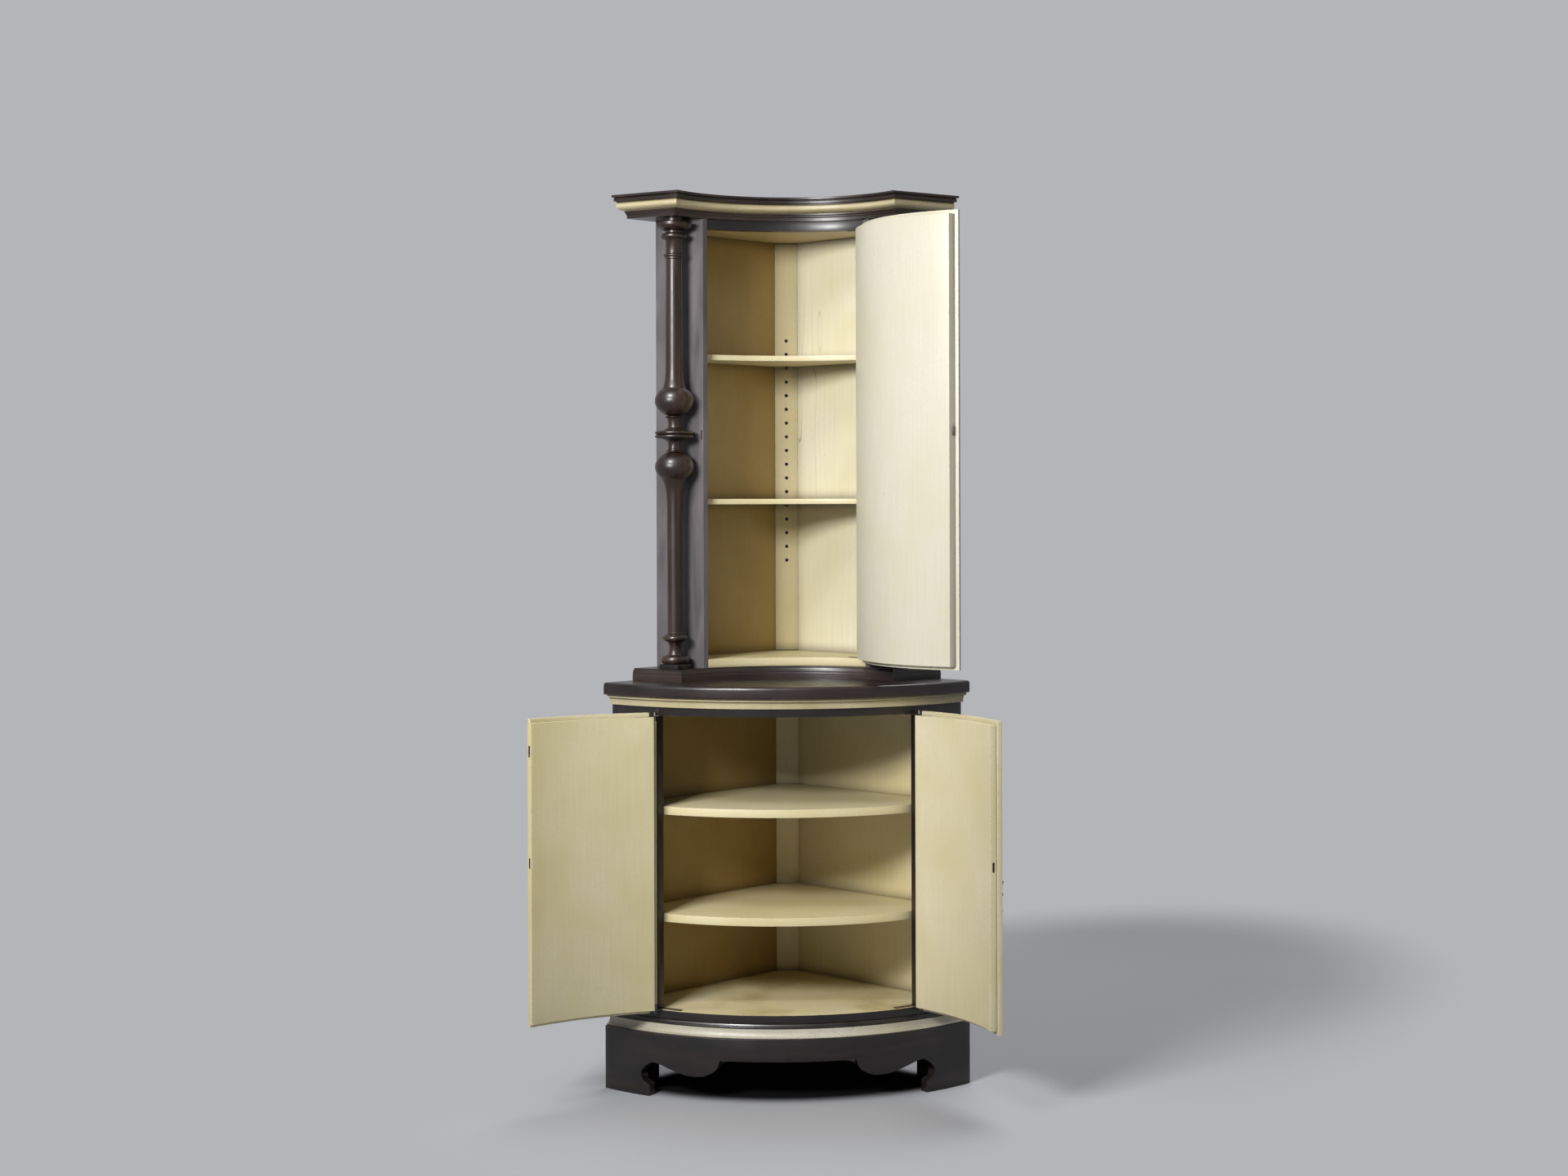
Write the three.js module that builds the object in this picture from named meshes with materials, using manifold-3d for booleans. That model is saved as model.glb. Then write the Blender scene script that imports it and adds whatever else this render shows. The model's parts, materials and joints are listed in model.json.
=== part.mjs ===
// Corner cupboard in two parts on a bracket plinth. The lower case has a bowed front and a pair
// of doors, the upper case a hollow front with one door between turned columns. The doors are
// placed open. Millimetres, Z up, front towards -Y. The plan is drawn from the room corner where
// both walls meet, and moved at the end so that the origin is under the back foot's middle.

import * as THREE from 'three';
import { mergeVertices } from 'three/addons/utils/BufferGeometryUtils.js';
import Module from 'manifold-3d';

const wasm = await Module();
wasm.setup();

// Clearances, and how far cuts run past what they cut
const fitGap = 0.3;
const shelfGap = 1;
const doorFaceGap = 1;
const doorEdgeGap = 1.5;
const doorEndGap = 2;
const pinGap = 0.1;
const boltGap = 0.25;
const strikeGap = 0.75;
const overrun = 1;
const farOut = 900;

// Fineness of curves
const arcStep = 5;
const roundSides = 16;
const columnSides = 16;
const pegSides = 10;
const wireSides = 8;
const coveSteps = 4;
const mergeTolerance = 1e-4;

// Plan of the lower case, from the room corner
const caseRadius = 541;
const slabOverhang = 25;
const plinthStand = 23;
const openingHalfAngle = 31;

// Plan of the upper case: the hollow's centre stands before the case, and its boards stand out
// from the wings and from the hollow
const hollowDistance = 623;
const hollowRadius = 321;
const hollowHalfWidth = 174;
const stileLipWidth = 9;
const wingAngle = 33;
const baseBoardWingStand = 70.7;
const baseBoardHollowStand = 9;
const soffitWingStand = 83.1;
const soffitHollowStand = 4;

// Heights of the stack, from the floor up
const plinthHeight = 137;
const bandHeight = 19;
const beadHeight = 9;
const floorThickness = 18;
const openingHeight = 635;
const topRailHeight = 40;
const slabThickness = 26;
const baseBoardHeight = 27;
const upperFloorThickness = 19;
const upperOpeningHeight = 950;
const headRailHeight = 22;
const soffitHeight = 15.7;
const creamHeight = 17.3;
const crownHeight = 15;

// Boards
const wallThickness = 15;
const stileThickness = 20;
const shelfThickness = 18;
const shelfSetback = 21;
const upperShelfThickness = 12;
const upperShelfSetback = 16;
const ceilingThickness = 15;
const plinthThickness = 22;
const plinthSideThickness = 18;
const railDrop = 19;
const stripWidth = 54;
const stripThickness = 12;
const backFootSide = 79;

// Apron of the plinth
const apronHeight = 89;
const apronHalfWidth = 146;
const frontFootWidth = 100;
const sideArchChamfer = 26;
const plinthRound = 5;

// Slab and mouldings of the lower case
const slabBevel = 2;
const slabRound = 7;
const creamRailHeight = 22;
const creamRailFoot = 6;
const creamRailHead = 10;
const creamGrooveHeight = 1.5;
const creamGrooveReach = 9.5;
const creamBeadHeight = 6;
const creamBeadReach = 15.5;
const plinthLedge = 4;
const bandFillet = 2;
const bandHead = 9;
const beadReach = 7.5;

// Mouldings of the upper case
const baseBoardPlinth = 12;
const baseBoardStep = 5;
const fasciaHeight = 7.5;
const soffitStep = 6.9;
const creamFoot = 7.6;
const creamSwell = 22.8;
const creamDepth = 70;
const crownReach = 43.6;

// Columns
const columnOffset = 63;
const columnStand = 40.5;
const pedestalWidth = 50;
const pedestalHeight = 10;
const ballRadius = 42.8;
const discRadius = 42.7;
const spoolRadius = 13.5;
const lowShaftRadius = 16.4;
const highShaftRadius = 18.9;
const baseRingRadius = 31.4;
const lowNeckRadius = 13;
const lowRingRadius = 27.8;
const astragalRadius = 22.5;
const highNeckRadius = 17.4;
const highRingRadius = 28.7;
const capRadius = 39.7;
const capNeckRadius = 20.1;
const turningFillet = 4;

// Shelves and their pegs
const lowerShelfRise = 204;
const higherShelfRise = 436;
const pegPitch = 32;
const pegRows = 17;
const topPegDrop = 227.4;
const shelfRowIndexes = [2, 12];
const pegRadius = 3;
const pegHoleRadius = 3.5;
const pegHoleDepth = 10;
const pegLength = 20;
const frontPegInset = 88;

// Doors
const leafThickness = 9;
const panelThickness = 13.7;
const sideLap = 6.5;
const headLap = 6.5;
const footLap = 5.5;
const meetingLap = 8;
const lowerLeftOpenAngle = 137;
const lowerRightOpenAngle = 105;
const upperOpenAngle = 122.5;

// Pivot hinges
const pinInset = 3;
const pinRadius = 1.4;
const knuckleRadius = 2.8;
const knuckleLength = 8.5;
const plateThickness = 1.5;
const plateInset = 4;
const plateWidth = 11;
const doorPlateWidth = 8;
const casePlateLength = 48;
const doorPlateLength = 40;
const crankStart = 5.2;
const crankWidth = 6;
const notchWidth = 16;
const notchHeight = 18;

// Locks and bolts
const lockRise = 340;
const upperLockRise = 495;
const lockCaseInset = 9;
const lockCaseLength = 40;
const lockCaseHeight = 60;
const lockCaseThickness = 6;
const lockBoltHeight = 19.5;
const lockBoltThickness = 3;
const lockBoltLength = 30;
const lockBoltTravel = 9;
const keyInset = 26;
const keyDrop = 14;
const keyholeRadius = 3;
const keyholeLength = 11;
const keyholeWidth = 2.4;
const flushBoltDrop = 61;
const flushPocketHeight = 26;
const flushPocketWidth = 6.4;
const flushPocketDepth = 8;
const flushRodRadius = 2.2;
const flushRodInset = 4;
const flushTravel = 12;
const flushKnobReach = 3.2;
const flushKnobHeight = 5;
const flushKnobWidth = 4;

// Escutcheon and drop pull
const escutcheonRise = 18;
const escutcheonFall = 37;
const escutcheonHalfWidth = 14;
const escutcheonThickness = 2;
const escutcheonBedding = 1.2;
const crownShare = 0.72;
const pullDrop = 47;
const stapleRadius = 5.1;
const stapleWire = 1.3;
const stapleReach = 8.5;
const stapleLeg = 6;
const loopRadius = 3.4;
const loopWire = 1.1;
const loopSlack = 0.15;
const dropLength = 26;
const dropRadius = 5.8;
const curlFoot = 8;
const curlRise = 20;
const curlReach = 14.5;
const curlWidth = 10;

// Tables of shares. Each point is a share of the width and a share of the height that it names.
const apronScrollShares = [
  [0.03, 0.83],
  [0.08, 0.73],
  [0.14, 0.67],
  [0.22, 0.61],
  [0.32, 0.585],
  [0.43, 0.59],
  [0.53, 0.62],
  [0.69, 0.7],
  [0.85, 0.8],
  [0.96, 0.84],
  [1.04, 0.74],
  [1.1, 0.62],
  [1.12, 0.51],
  [1.1, 0.39],
  [1.06, 0.33],
  [1, 0.27],
];
const beadShares = [[1, 0], [1, 0.28], [0.67, 0.39], [0.67, 0.67], [0.4, 1]];
const creamSwellShares = [
  [0, 0],
  [0.35, 0.05],
  [0.62, 0.14],
  [0.84, 0.27],
  [1, 0.46],
  [1, 0.85],
  [0.93, 1],
];
const crownShares = [
  [0.69, 0],
  [0.69, 0.11],
  [0.86, 0.13],
  [0.86, 0.53],
  [0.81, 0.55],
  [0.81, 0.64],
  [1, 0.67],
  [1, 1],
];
const soffitShares = [[0, 0], [0.45, 0.3], [0.45, 0.55], [1, 0.6], [1, 1]];
const baseBoardShares = [[0, 0], [0.1, 0.1], [0.3, 0.22], [0.75, 0.42], [1, 0.6], [1, 1]];
const escutcheonShares = [[0, 1], [0.28, 0.83], [0.36, 0.61], [0.79, 0.5], [1, 0.17]];
const escutcheonTailShares = [
  [0.79, 0.08],
  [0.93, 0.24],
  [0.71, 0.43],
  [0.43, 0.54],
  [0.5, 0.73],
  [0.21, 0.89],
  [0, 1],
];
const curlShares = [
  [0, 0],
  [0.28, 0.15],
  [0.59, 0.45],
  [0.86, 0.75],
  [1, 1],
  [0.83, 0.93],
  [0.62, 0.8],
  [0.34, 0.63],
  [0.08, 0.5],
];
const dropShares = [
  [0.26, 0.01],
  [0.34, 0.06],
  [0.53, 0.13],
  [0.57, 0.21],
  [0.38, 0.29],
  [0.33, 0.46],
  [0.41, 0.65],
  [0.59, 0.77],
  [0.97, 0.88],
  [1, 0.94],
  [0.79, 0.985],
];

// Where the parts of a column lie, as shares of its height, and how round its balls are
const columnShares = {
  baseRing: [0.0005, 0.0184],
  lowWaist: [0.0204, 0.05],
  lowRing: [0.051, 0.0653],
  shaftFoot: 0.0735,
  shaftNeck: 0.38,
  shaftSwell: 0.408,
  lowBall: 0.442,
  lowSpool: [0.4785, 0.505],
  lowDisc: [0.507, 0.514],
  highDisc: [0.515, 0.522],
  highSpool: [0.5245, 0.551],
  collar: [0.552, 0.555],
  highBall: 0.59,
  taperFoot: 0.6235,
  taperMiddle: 0.637,
  highShaftFoot: 0.653,
  highShaftHead: 0.907,
  fillet: 0.912,
  astragal: [0.913, 0.919],
  highNeck: [0.9225, 0.951],
  highRing: [0.953, 0.965],
  capNeck: [0.967, 0.971],
  capFlare: 0.9775,
  cap: [0.9785, 0.991],
  ballFlat: 0.8,
};

const wood = 0x3b2c2a;
const cream = 0xd9d0a8;
const iron = 0x4a4744;

// Heights and reaches that follow from the sizes above
const caseFoot = plinthHeight + fitGap;
const floorFoot = plinthHeight + bandHeight + beadHeight;
const floorTop = floorFoot + floorThickness;
const openingTop = floorTop + openingHeight;
const slabFoot = openingTop + topRailHeight;
const slabTop = slabFoot + slabThickness;
const upperFoot = slabTop + baseBoardHeight;
const upperFloorTop = upperFoot + upperFloorThickness;
const ceilingFoot = upperFloorTop + upperOpeningHeight;
const soffitFoot = ceilingFoot + headRailHeight;
const soffitTop = soffitFoot + soffitHeight;
const crownFoot = soffitTop + creamHeight;
const topOfAll = crownFoot + crownHeight;
const slabRadius = caseRadius + slabOverhang;
const plinthRadius = caseRadius + plinthStand;
const frontFootInside = plinthRadius * Math.SQRT1_2 - frontFootWidth;
const stripFace = stripWidth / 2 + wallThickness * Math.SQRT2;
const lockHeight = floorTop + lockRise;
const upperLockHeight = upperFloorTop + upperLockRise;
const flushBoltHeight = openingTop - flushBoltDrop;
const topPegHeight = ceilingFoot - topPegDrop;
const pullHeight = lockHeight - keyDrop - pullDrop;

const degrees = Math.PI / 180;
const halfTurn = Math.PI;
const quarterTurn = Math.PI / 2;
const wing = wingAngle * degrees;
const hollowHalfAngle = Math.asin(hollowHalfWidth / hollowRadius) / degrees;
const wingReach = reachOfWing();
const baseBoardReach = reachBy(wingReach, baseBoardWingStand);
const baseBoardHollow = hollowRadius - baseBoardHollowStand;
const soffitReach = reachBy(wingReach, soffitWingStand);
const soffitHollow = hollowRadius - soffitHollowStand;

// The reach of the wing that meets the hollow at the stile's outer edge.
function reachOfWing() {
  const edge = hollowHalfWidth + stileLipWidth;
  const depth = hollowDistance - Math.sqrt(hollowRadius ** 2 - edge ** 2);
  return (depth + edge * Math.tan(wing)) / (1 + Math.tan(wing));
}

// Moves a wing's reach so that its face moves square to itself.
function reachBy(reach, offset) {
  return reach + offset / (Math.cos(wing) + Math.sin(wing));
}

// Solids

// Turns a closed triangle mesh into a solid, with its faces made to point outwards.
function solidFrom(geometry) {
  const bare = new THREE.BufferGeometry();
  bare.setAttribute('position', geometry.getAttribute('position'));
  if (geometry.getIndex()) bare.setIndex(geometry.getIndex());
  const merged = mergeVertices(bare, mergeTolerance);
  const places = merged.getAttribute('position').array;
  const corners = realTriangles(merged.getIndex().array);
  if (signedVolume(places, corners) < 0) flipTriangles(corners);
  const mesh = new wasm.Mesh({
    numProp: 3,
    vertProperties: new Float32Array(places),
    triVerts: new Uint32Array(corners),
  });
  return new wasm.Manifold(mesh);
}

function realTriangles(index) {
  const kept = [];
  for (let i = 0; i < index.length; i += 3) {
    const [a, b, c] = [index[i], index[i + 1], index[i + 2]];
    if (a !== b && b !== c && c !== a) kept.push(a, b, c);
  }
  return kept;
}

function signedVolume(places, corners) {
  const point = (i) => new THREE.Vector3().fromArray(places, i * 3);
  let sum = 0;
  for (let i = 0; i < corners.length; i += 3) {
    const [a, b, c] = [point(corners[i]), point(corners[i + 1]), point(corners[i + 2])];
    sum += a.dot(b.cross(c));
  }
  return sum;
}

function flipTriangles(corners) {
  for (let i = 0; i < corners.length; i += 3) {
    [corners[i + 1], corners[i + 2]] = [corners[i + 2], corners[i + 1]];
  }
}

function geometryFrom(solid) {
  const mesh = solid.getMesh();
  const geometry = new THREE.BufferGeometry();
  geometry.setAttribute('position', new THREE.BufferAttribute(mesh.vertProperties, 3));
  geometry.setIndex(new THREE.BufferAttribute(mesh.triVerts, 1));
  return geometry;
}

function union(solids) {
  return solids.reduce((sum, next) => sum.add(next));
}

function extruded(points, depth) {
  const shape = new THREE.Shape(points.map(([x, y]) => new THREE.Vector2(x, y)));
  return new THREE.ExtrudeGeometry(shape, { depth, bevelEnabled: false });
}

// An upright block from its plan.
function prism(plan, low, high) {
  return solidFrom(extruded(plan, high - low).translate(0, 0, low));
}

// A turned solid about the upright line through (x, y). The profile is [radius, height] pairs
// that close on themselves.
function turned(profile, sides, x, y) {
  const loop = profile.concat([profile[0]]);
  const geometry = new THREE.LatheGeometry(loop.map(([r, z]) => new THREE.Vector2(r, z)), sides);
  return solidFrom(geometry.rotateX(quarterTurn).translate(x, y, 0));
}

function cylinder(x, y, radius, low, high, sides = roundSides) {
  return turned([[0, low], [radius, low], [radius, high], [0, high]], sides, x, y);
}

function levelCylinder(from, to, radius, height, sides) {
  const [dx, dy] = [to[0] - from[0], to[1] - from[1]];
  const geometry = new THREE.CylinderGeometry(radius, radius, Math.hypot(dx, dy), sides);
  geometry.rotateZ(Math.atan2(dy, dx) - quarterTurn);
  return solidFrom(geometry.translate((from[0] + to[0]) / 2, (from[1] + to[1]) / 2, height));
}

// A quarter round between two points. A swelling one leaves the first point sideways, and a
// hollow one leaves it upwards.
function quarterRound(from, to, swelling) {
  const points = [];
  for (let i = 0; i <= coveSteps; i += 1) {
    const turn = (i / coveSteps) * quarterTurn;
    const [fast, slow] = [Math.sin(turn), 1 - Math.cos(turn)];
    const [across, up] = swelling ? [fast, slow] : [slow, fast];
    points.push([from[0] + (to[0] - from[0]) * across, from[1] + (to[1] - from[1]) * up]);
  }
  return points;
}

// Shares of a width and a height, laid out from a starting point.
function fromShares(shares, width, height, across = 0, up = 0) {
  return shares.map(([a, b]) => [across + a * width, up + b * height]);
}

// Plans

// The bowed front is an arc about the room corner, the hollow front an arc about a point before
// it. Angles are from the middle, and grow towards +X.
const bow = { centreY: 0, way: -1 };
const hollow = { centreY: -hollowDistance, way: 1 };
const arcSides = 360 / arcStep;

function onArc(arc, radius, angle) {
  const a = angle * degrees;
  return [radius * Math.sin(a), arc.centreY + arc.way * radius * Math.cos(a)];
}

// The same arc as it is faceted, so that a board that ends within a facet still lies flat on
// its neighbours.
function onFacet(arc, radius, angle) {
  const middle = (Math.floor(angle / arcStep) + 0.5) * arcStep;
  const flat = radius * Math.cos((arcStep / 2) * degrees);
  return onArc(arc, flat / Math.cos((angle - middle) * degrees), angle);
}

function arcAngles(from, to) {
  const angles = [from];
  for (let k = Math.floor(from / arcStep) + 1; k * arcStep < to; k += 1) angles.push(k * arcStep);
  angles.push(to);
  return angles;
}

function arcBoard(arc, inner, outer, from, to, low, high) {
  const angles = arcAngles(from, to);
  const near = angles.map((a) => onFacet(arc, inner, a));
  const far = angles.map((a) => onFacet(arc, outer, a)).reverse();
  return prism(near.concat(far), low, high);
}

function angleOf(length, radius) {
  return length / radius / degrees;
}

// A plan point by its distance along a wall from the corner and its distance out from the wall.
function byWall(side, along, out) {
  return [side * (along - out) * Math.SQRT1_2, -(along + out) * Math.SQRT1_2];
}

// The room's corner, kept `out` clear of both walls.
function roomCorner(low, high, out = 0) {
  const tip = byWall(1, out, out);
  return prism([tip, byWall(-1, 2 * farOut, out), byWall(1, 2 * farOut, out)], low, high);
}

function bowDisc(radius, low, high) {
  return cylinder(0, 0, radius, low, high, arcSides);
}

function hollowDisc(radius, low, high) {
  return cylinder(0, -hollowDistance, radius, low, high, arcSides);
}

// All that lies behind both wings, also past the walls.
function wingPlan(reach) {
  const tip = -reach * (1 + Math.tan(wing));
  const wide = 2 * reach;
  const end = tip + wide * Math.tan(wing);
  return [[-wide, wide], [-wide, end], [0, tip], [wide, end], [wide, wide]];
}

// A board along one wall, mitred to its fellow where it starts at the corner.
function wallBoard(side, thickness, start, low, high) {
  const plan = [
    byWall(side, start, 0),
    byWall(side, farOut, 0),
    byWall(side, farOut, thickness),
    byWall(side, Math.max(start, thickness + fitGap), thickness),
  ];
  return prism(plan, low, high);
}

// The flat strip over the corner joint, with its back edges cut away to the walls.
function cornerStrip(low, high) {
  const half = stripWidth / 2 - fitGap;
  const back = stripFace - stripThickness;
  const narrow = half - stripThickness;
  return prism([[-half, -stripFace], [half, -stripFace], [narrow, -back], [-narrow, -back]], low, high);
}

// What a shelf leaves free round the corner strip.
function cornerNotch(low, high) {
  const front = stripFace + fitGap;
  const plan = [[0, 0], [-front, 0], [-front, -front], [front, -front], [front, 0]];
  return prism(plan, low - overrun, high + overrun);
}

// Lower case

function lowerWallPanel(side) {
  const board = wallBoard(side, wallThickness, fitGap, caseFoot, slabFoot - fitGap);
  return board.intersect(bowDisc(caseRadius - stileThickness - fitGap, 0, slabTop));
}

function lowerStile(side) {
  const ends = [side * openingHalfAngle, side * (openingHalfAngle + 45)];
  const [from, to] = [Math.min(...ends), Math.max(...ends)];
  const inner = caseRadius - stileThickness;
  const board = arcBoard(bow, inner, caseRadius, from, to, caseFoot, slabFoot - fitGap);
  return board.intersect(roomCorner(0, slabTop));
}

function lowerRail(low, high) {
  const half = openingHalfAngle - angleOf(fitGap, caseRadius);
  return arcBoard(bow, caseRadius - stileThickness, caseRadius, -half, half, low, high);
}

// The bottom rail runs down behind the plinth board and carries it.
function lowerBottomRail() {
  return lowerRail(plinthHeight - railDrop, floorFoot - fitGap);
}

// The top rail has a hole for the left door's flush bolt.
function lowerTopRail() {
  const [x, y] = flushBoltPlace();
  const top = openingTop + flushTravel;
  const hole = cylinder(x, y, flushRodRadius + boltGap, openingTop - overrun, top);
  return lowerRail(openingTop, slabFoot - fitGap).subtract(hole);
}

function lowerFloor() {
  const inner = caseRadius - stileThickness - fitGap;
  const inside = roomCorner(floorFoot, floorTop, wallThickness + fitGap);
  const back = inside.intersect(bowDisc(inner, floorFoot, floorTop));
  const half = openingHalfAngle - angleOf(fitGap, caseRadius);
  return back.add(arcBoard(bow, inner / 2, caseRadius, -half, half, floorFoot, floorTop));
}

function lowerShelf(top) {
  const low = top - shelfThickness;
  const inside = roomCorner(low, top, wallThickness + fitGap);
  const round = inside.intersect(bowDisc(caseRadius - shelfSetback, low, top));
  return round.subtract(cornerNotch(low, top));
}

// A moulding round the bow, as [reach, height] from the case's face and its own foot.
function bowMoulding(profile, foot) {
  const back = caseRadius + fitGap;
  const face = profile.map(([reach, rise]) => [caseRadius + reach, foot + rise]);
  const low = [back, face[0][1]];
  const high = [back, face[face.length - 1][1]];
  return turned([low, ...face, high], arcSides, 0, 0).intersect(roomCorner(0, topOfAll));
}

function topSlab() {
  const [low, high] = [slabFoot, slabTop];
  const shoulder = quarterRound([slabRadius, high - slabRound], [slabRadius - slabRound, high], false);
  const profile = [
    [0, low],
    [slabRadius - slabBevel, low],
    [slabRadius, low + slabBevel],
    ...shoulder,
    [0, high],
  ];
  return turned(profile, arcSides, 0, 0).intersect(roomCorner(low, high));
}

function creamRail() {
  const top = creamRailHeight - fitGap;
  const bead = top - creamBeadHeight;
  const groove = bead - creamGrooveHeight;
  const profile = [
    ...quarterRound([creamRailFoot, 0], [creamRailHead, groove], false),
    [creamGrooveReach, groove],
    [creamGrooveReach, bead],
    [creamBeadReach, bead],
    [creamBeadReach, top],
  ];
  return bowMoulding(profile, slabFoot - creamRailHeight);
}

function plinthBand() {
  const foot = plinthStand - plinthLedge;
  const high = bandHeight - 2 * fitGap;
  const cove = quarterRound([foot, bandFillet], [bandHead, high], true);
  return bowMoulding([[foot, 0], ...cove], plinthHeight + fitGap);
}

function plinthBead() {
  const profile = fromShares(beadShares, beadReach, beadHeight - fitGap);
  return bowMoulding(profile, plinthHeight + bandHeight);
}

// Plinth

// One half of the apron's lower edge as [across, height], from the middle to the foot.
function apronEdge() {
  const span = frontFootInside - apronHalfWidth;
  return [
    [0, apronHeight],
    [apronHalfWidth, apronHeight],
    ...fromShares(apronScrollShares, span, apronHeight, apronHalfWidth),
    [frontFootInside, -overrun],
  ];
}

// Cuts the apron's outline square to the bow, by bending a flat cut round the room corner.
function apronCut() {
  const right = apronEdge();
  const left = right.map(([across, height]) => [-across, height]).reverse();
  const outline = left.concat(right.slice(1));
  const flat = extruded(outline.map(([across, z]) => [Math.asin(across / plinthRadius), z]), 1);
  const places = flat.getAttribute('position');
  const [near, far] = [plinthRadius / 2, 2 * plinthRadius];
  for (let i = 0; i < places.count; i += 1) {
    const radius = places.getZ(i) > 0 ? far : near;
    const angle = places.getX(i);
    places.setXYZ(i, radius * Math.sin(angle), -radius * Math.cos(angle), places.getY(i));
  }
  return solidFrom(flat);
}

function plinthFront() {
  const inner = plinthRadius - plinthThickness;
  const edge = [plinthRadius, plinthHeight - plinthRound];
  const shoulder = quarterRound(edge, [plinthRadius - plinthRound, plinthHeight], false);
  const profile = [[inner, 0], [plinthRadius, 0], ...shoulder, [inner, plinthHeight]];
  const whole = turned(profile, arcSides, 0, 0).intersect(roomCorner(0, plinthHeight));
  return whole.subtract(apronCut());
}

function plinthSide(side) {
  const start = backFootSide + fitGap;
  const board = wallBoard(side, plinthSideThickness, start, 0, plinthHeight);
  const inner = plinthRadius - plinthThickness - fitGap;
  return board.intersect(bowDisc(inner, 0, plinthHeight)).subtract(sideArch(side));
}

// The arch between the back foot and the side board's own foot, drawn as [along, height].
function sideArch(side) {
  const front = plinthRadius - frontFootWidth * Math.SQRT2;
  const edge = [
    [backFootSide, -overrun],
    [front, -overrun],
    [front, apronHeight - sideArchChamfer],
    [front - sideArchChamfer, apronHeight],
    [backFootSide, apronHeight],
  ];
  const depth = 4 * plinthSideThickness;
  const cut = extruded(edge, depth).rotateX(quarterTurn).translate(0, depth / 2, 0);
  return solidFrom(cut.rotateZ(-quarterTurn + (side * quarterTurn) / 2));
}

function backFoot() {
  const side = backFootSide;
  return prism([[0, 0], byWall(1, side, 0), byWall(1, side, side), byWall(1, 0, side)], 0, plinthHeight);
}

// Doors. A door is drawn closed: an inner panel that fills the opening and an outer leaf that
// laps over the case. Its frame holds the arc that it follows and where its pivot stands.

function doorFrame(arc, face, openingEdge, side) {
  const out = -arc.way;
  const leafInner = face + out * doorFaceGap;
  const leafOuter = leafInner + out * leafThickness;
  const panelOuter = leafInner - out * fitGap;
  const panelInner = panelOuter - out * panelThickness;
  const leafEnd = openingEdge + angleOf(sideLap, face);
  const panelEnd = openingEdge - angleOf(doorEdgeGap, face);
  const pinAngle = side * (leafEnd - angleOf(pinInset, face));
  const pin = onArc(arc, leafOuter - out * pinInset, pinAngle);
  const middle = (panelInner + panelOuter) / 2;
  const radii = { face, leafInner, leafOuter, panelInner, panelOuter, middle };
  return { arc, side, ...radii, leafEnd, panelEnd, pin, pinAngle };
}

const lowerLeft = doorFrame(bow, caseRadius, openingHalfAngle, -1);
const lowerRight = doorFrame(bow, caseRadius, openingHalfAngle, 1);
const upper = doorFrame(hollow, hollowRadius, hollowHalfAngle, 1);

// The directions at an angle of a door's arc: along it away from the pivot, and out to the front.
function directionsAt(door, angle) {
  const a = angle * degrees;
  const along = [-door.side * Math.cos(a), door.side * door.arc.way * Math.sin(a)];
  const out = [-door.arc.way * Math.sin(a), -Math.cos(a)];
  return { along, out };
}

function stepFrom(place, directions, along, out) {
  return [
    place[0] + directions.along[0] * along + directions.out[0] * out,
    place[1] + directions.along[1] * along + directions.out[1] * out,
  ];
}

// A block beside the pivot, its plan drawn as [along the door, out to the front].
function pivotPrism(door, outline, low, high) {
  const directions = directionsAt(door, door.pinAngle);
  const plan = outline.map(([along, out]) => stepFrom(door.pin, directions, along, out));
  return prism(plan, low, high);
}

function doorBoard(door, inner, outer, hingeEnd, freeEnd, low, high) {
  const ends = [door.side * hingeEnd, door.side * freeEnd];
  const radii = [inner, outer];
  const [from, to] = [Math.min(...ends), Math.max(...ends)];
  return arcBoard(door.arc, Math.min(...radii), Math.max(...radii), from, to, low, high);
}

// How far the case's face lies behind the pivot.
const caseBehindPin = leafThickness + doorFaceGap - pinInset;

function casePlateOutline() {
  const back = -caseBehindPin - 2 * leafThickness;
  const [start, end] = [crankStart, crankStart + casePlateLength];
  return [
    [start, back],
    [end, back],
    [end, back + plateWidth],
    [start + crankWidth, back + plateWidth],
    [start + crankWidth, knuckleRadius],
    [0, knuckleRadius],
    [0, -knuckleRadius],
    [start, -knuckleRadius],
  ];
}

function doorPlateOutline(grow = 0) {
  const back = -caseBehindPin - panelThickness + plateInset - grow;
  const front = back + doorPlateWidth + 2 * grow;
  const start = sideLap - pinInset + doorEdgeGap + fitGap;
  const half = knuckleRadius + grow;
  return [
    [start, back],
    [start + doorPlateLength + grow, back],
    [start + doorPlateLength + grow, front],
    [start + crankWidth + grow, front],
    [start + crankWidth + grow, half],
    [0, half],
    [0, -half],
    [start, -half],
  ];
}

function caseFootHinge(door, foot) {
  const [x, y] = door.pin;
  const low = foot + fitGap / 2;
  const high = low + plateThickness;
  return union([
    pivotPrism(door, casePlateOutline(), low, high),
    cylinder(x, y, knuckleRadius, high - knuckleLength, high),
    cylinder(x, y, pinRadius, low, foot + doorEndGap + knuckleLength),
  ]);
}

function caseHeadHinge(door, head) {
  const [x, y] = door.pin;
  const high = head - fitGap / 2;
  const low = high - plateThickness;
  return union([
    pivotPrism(door, casePlateOutline(), low, high),
    cylinder(x, y, knuckleRadius, low, low + knuckleLength),
    cylinder(x, y, pinRadius, head - doorEndGap - knuckleLength, high),
  ]);
}

function doorHinge(door, plateLow, low, high) {
  const [x, y] = door.pin;
  const plate = pivotPrism(door, doorPlateOutline(), plateLow, plateLow + plateThickness);
  const bore = cylinder(x, y, pinRadius + pinGap, low - overrun, high + overrun);
  return plate.add(cylinder(x, y, knuckleRadius, low, high)).subtract(bore);
}

function doorFootHinge(door, foot) {
  const low = foot + doorEndGap;
  return doorHinge(door, low, low, low + knuckleLength);
}

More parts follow.
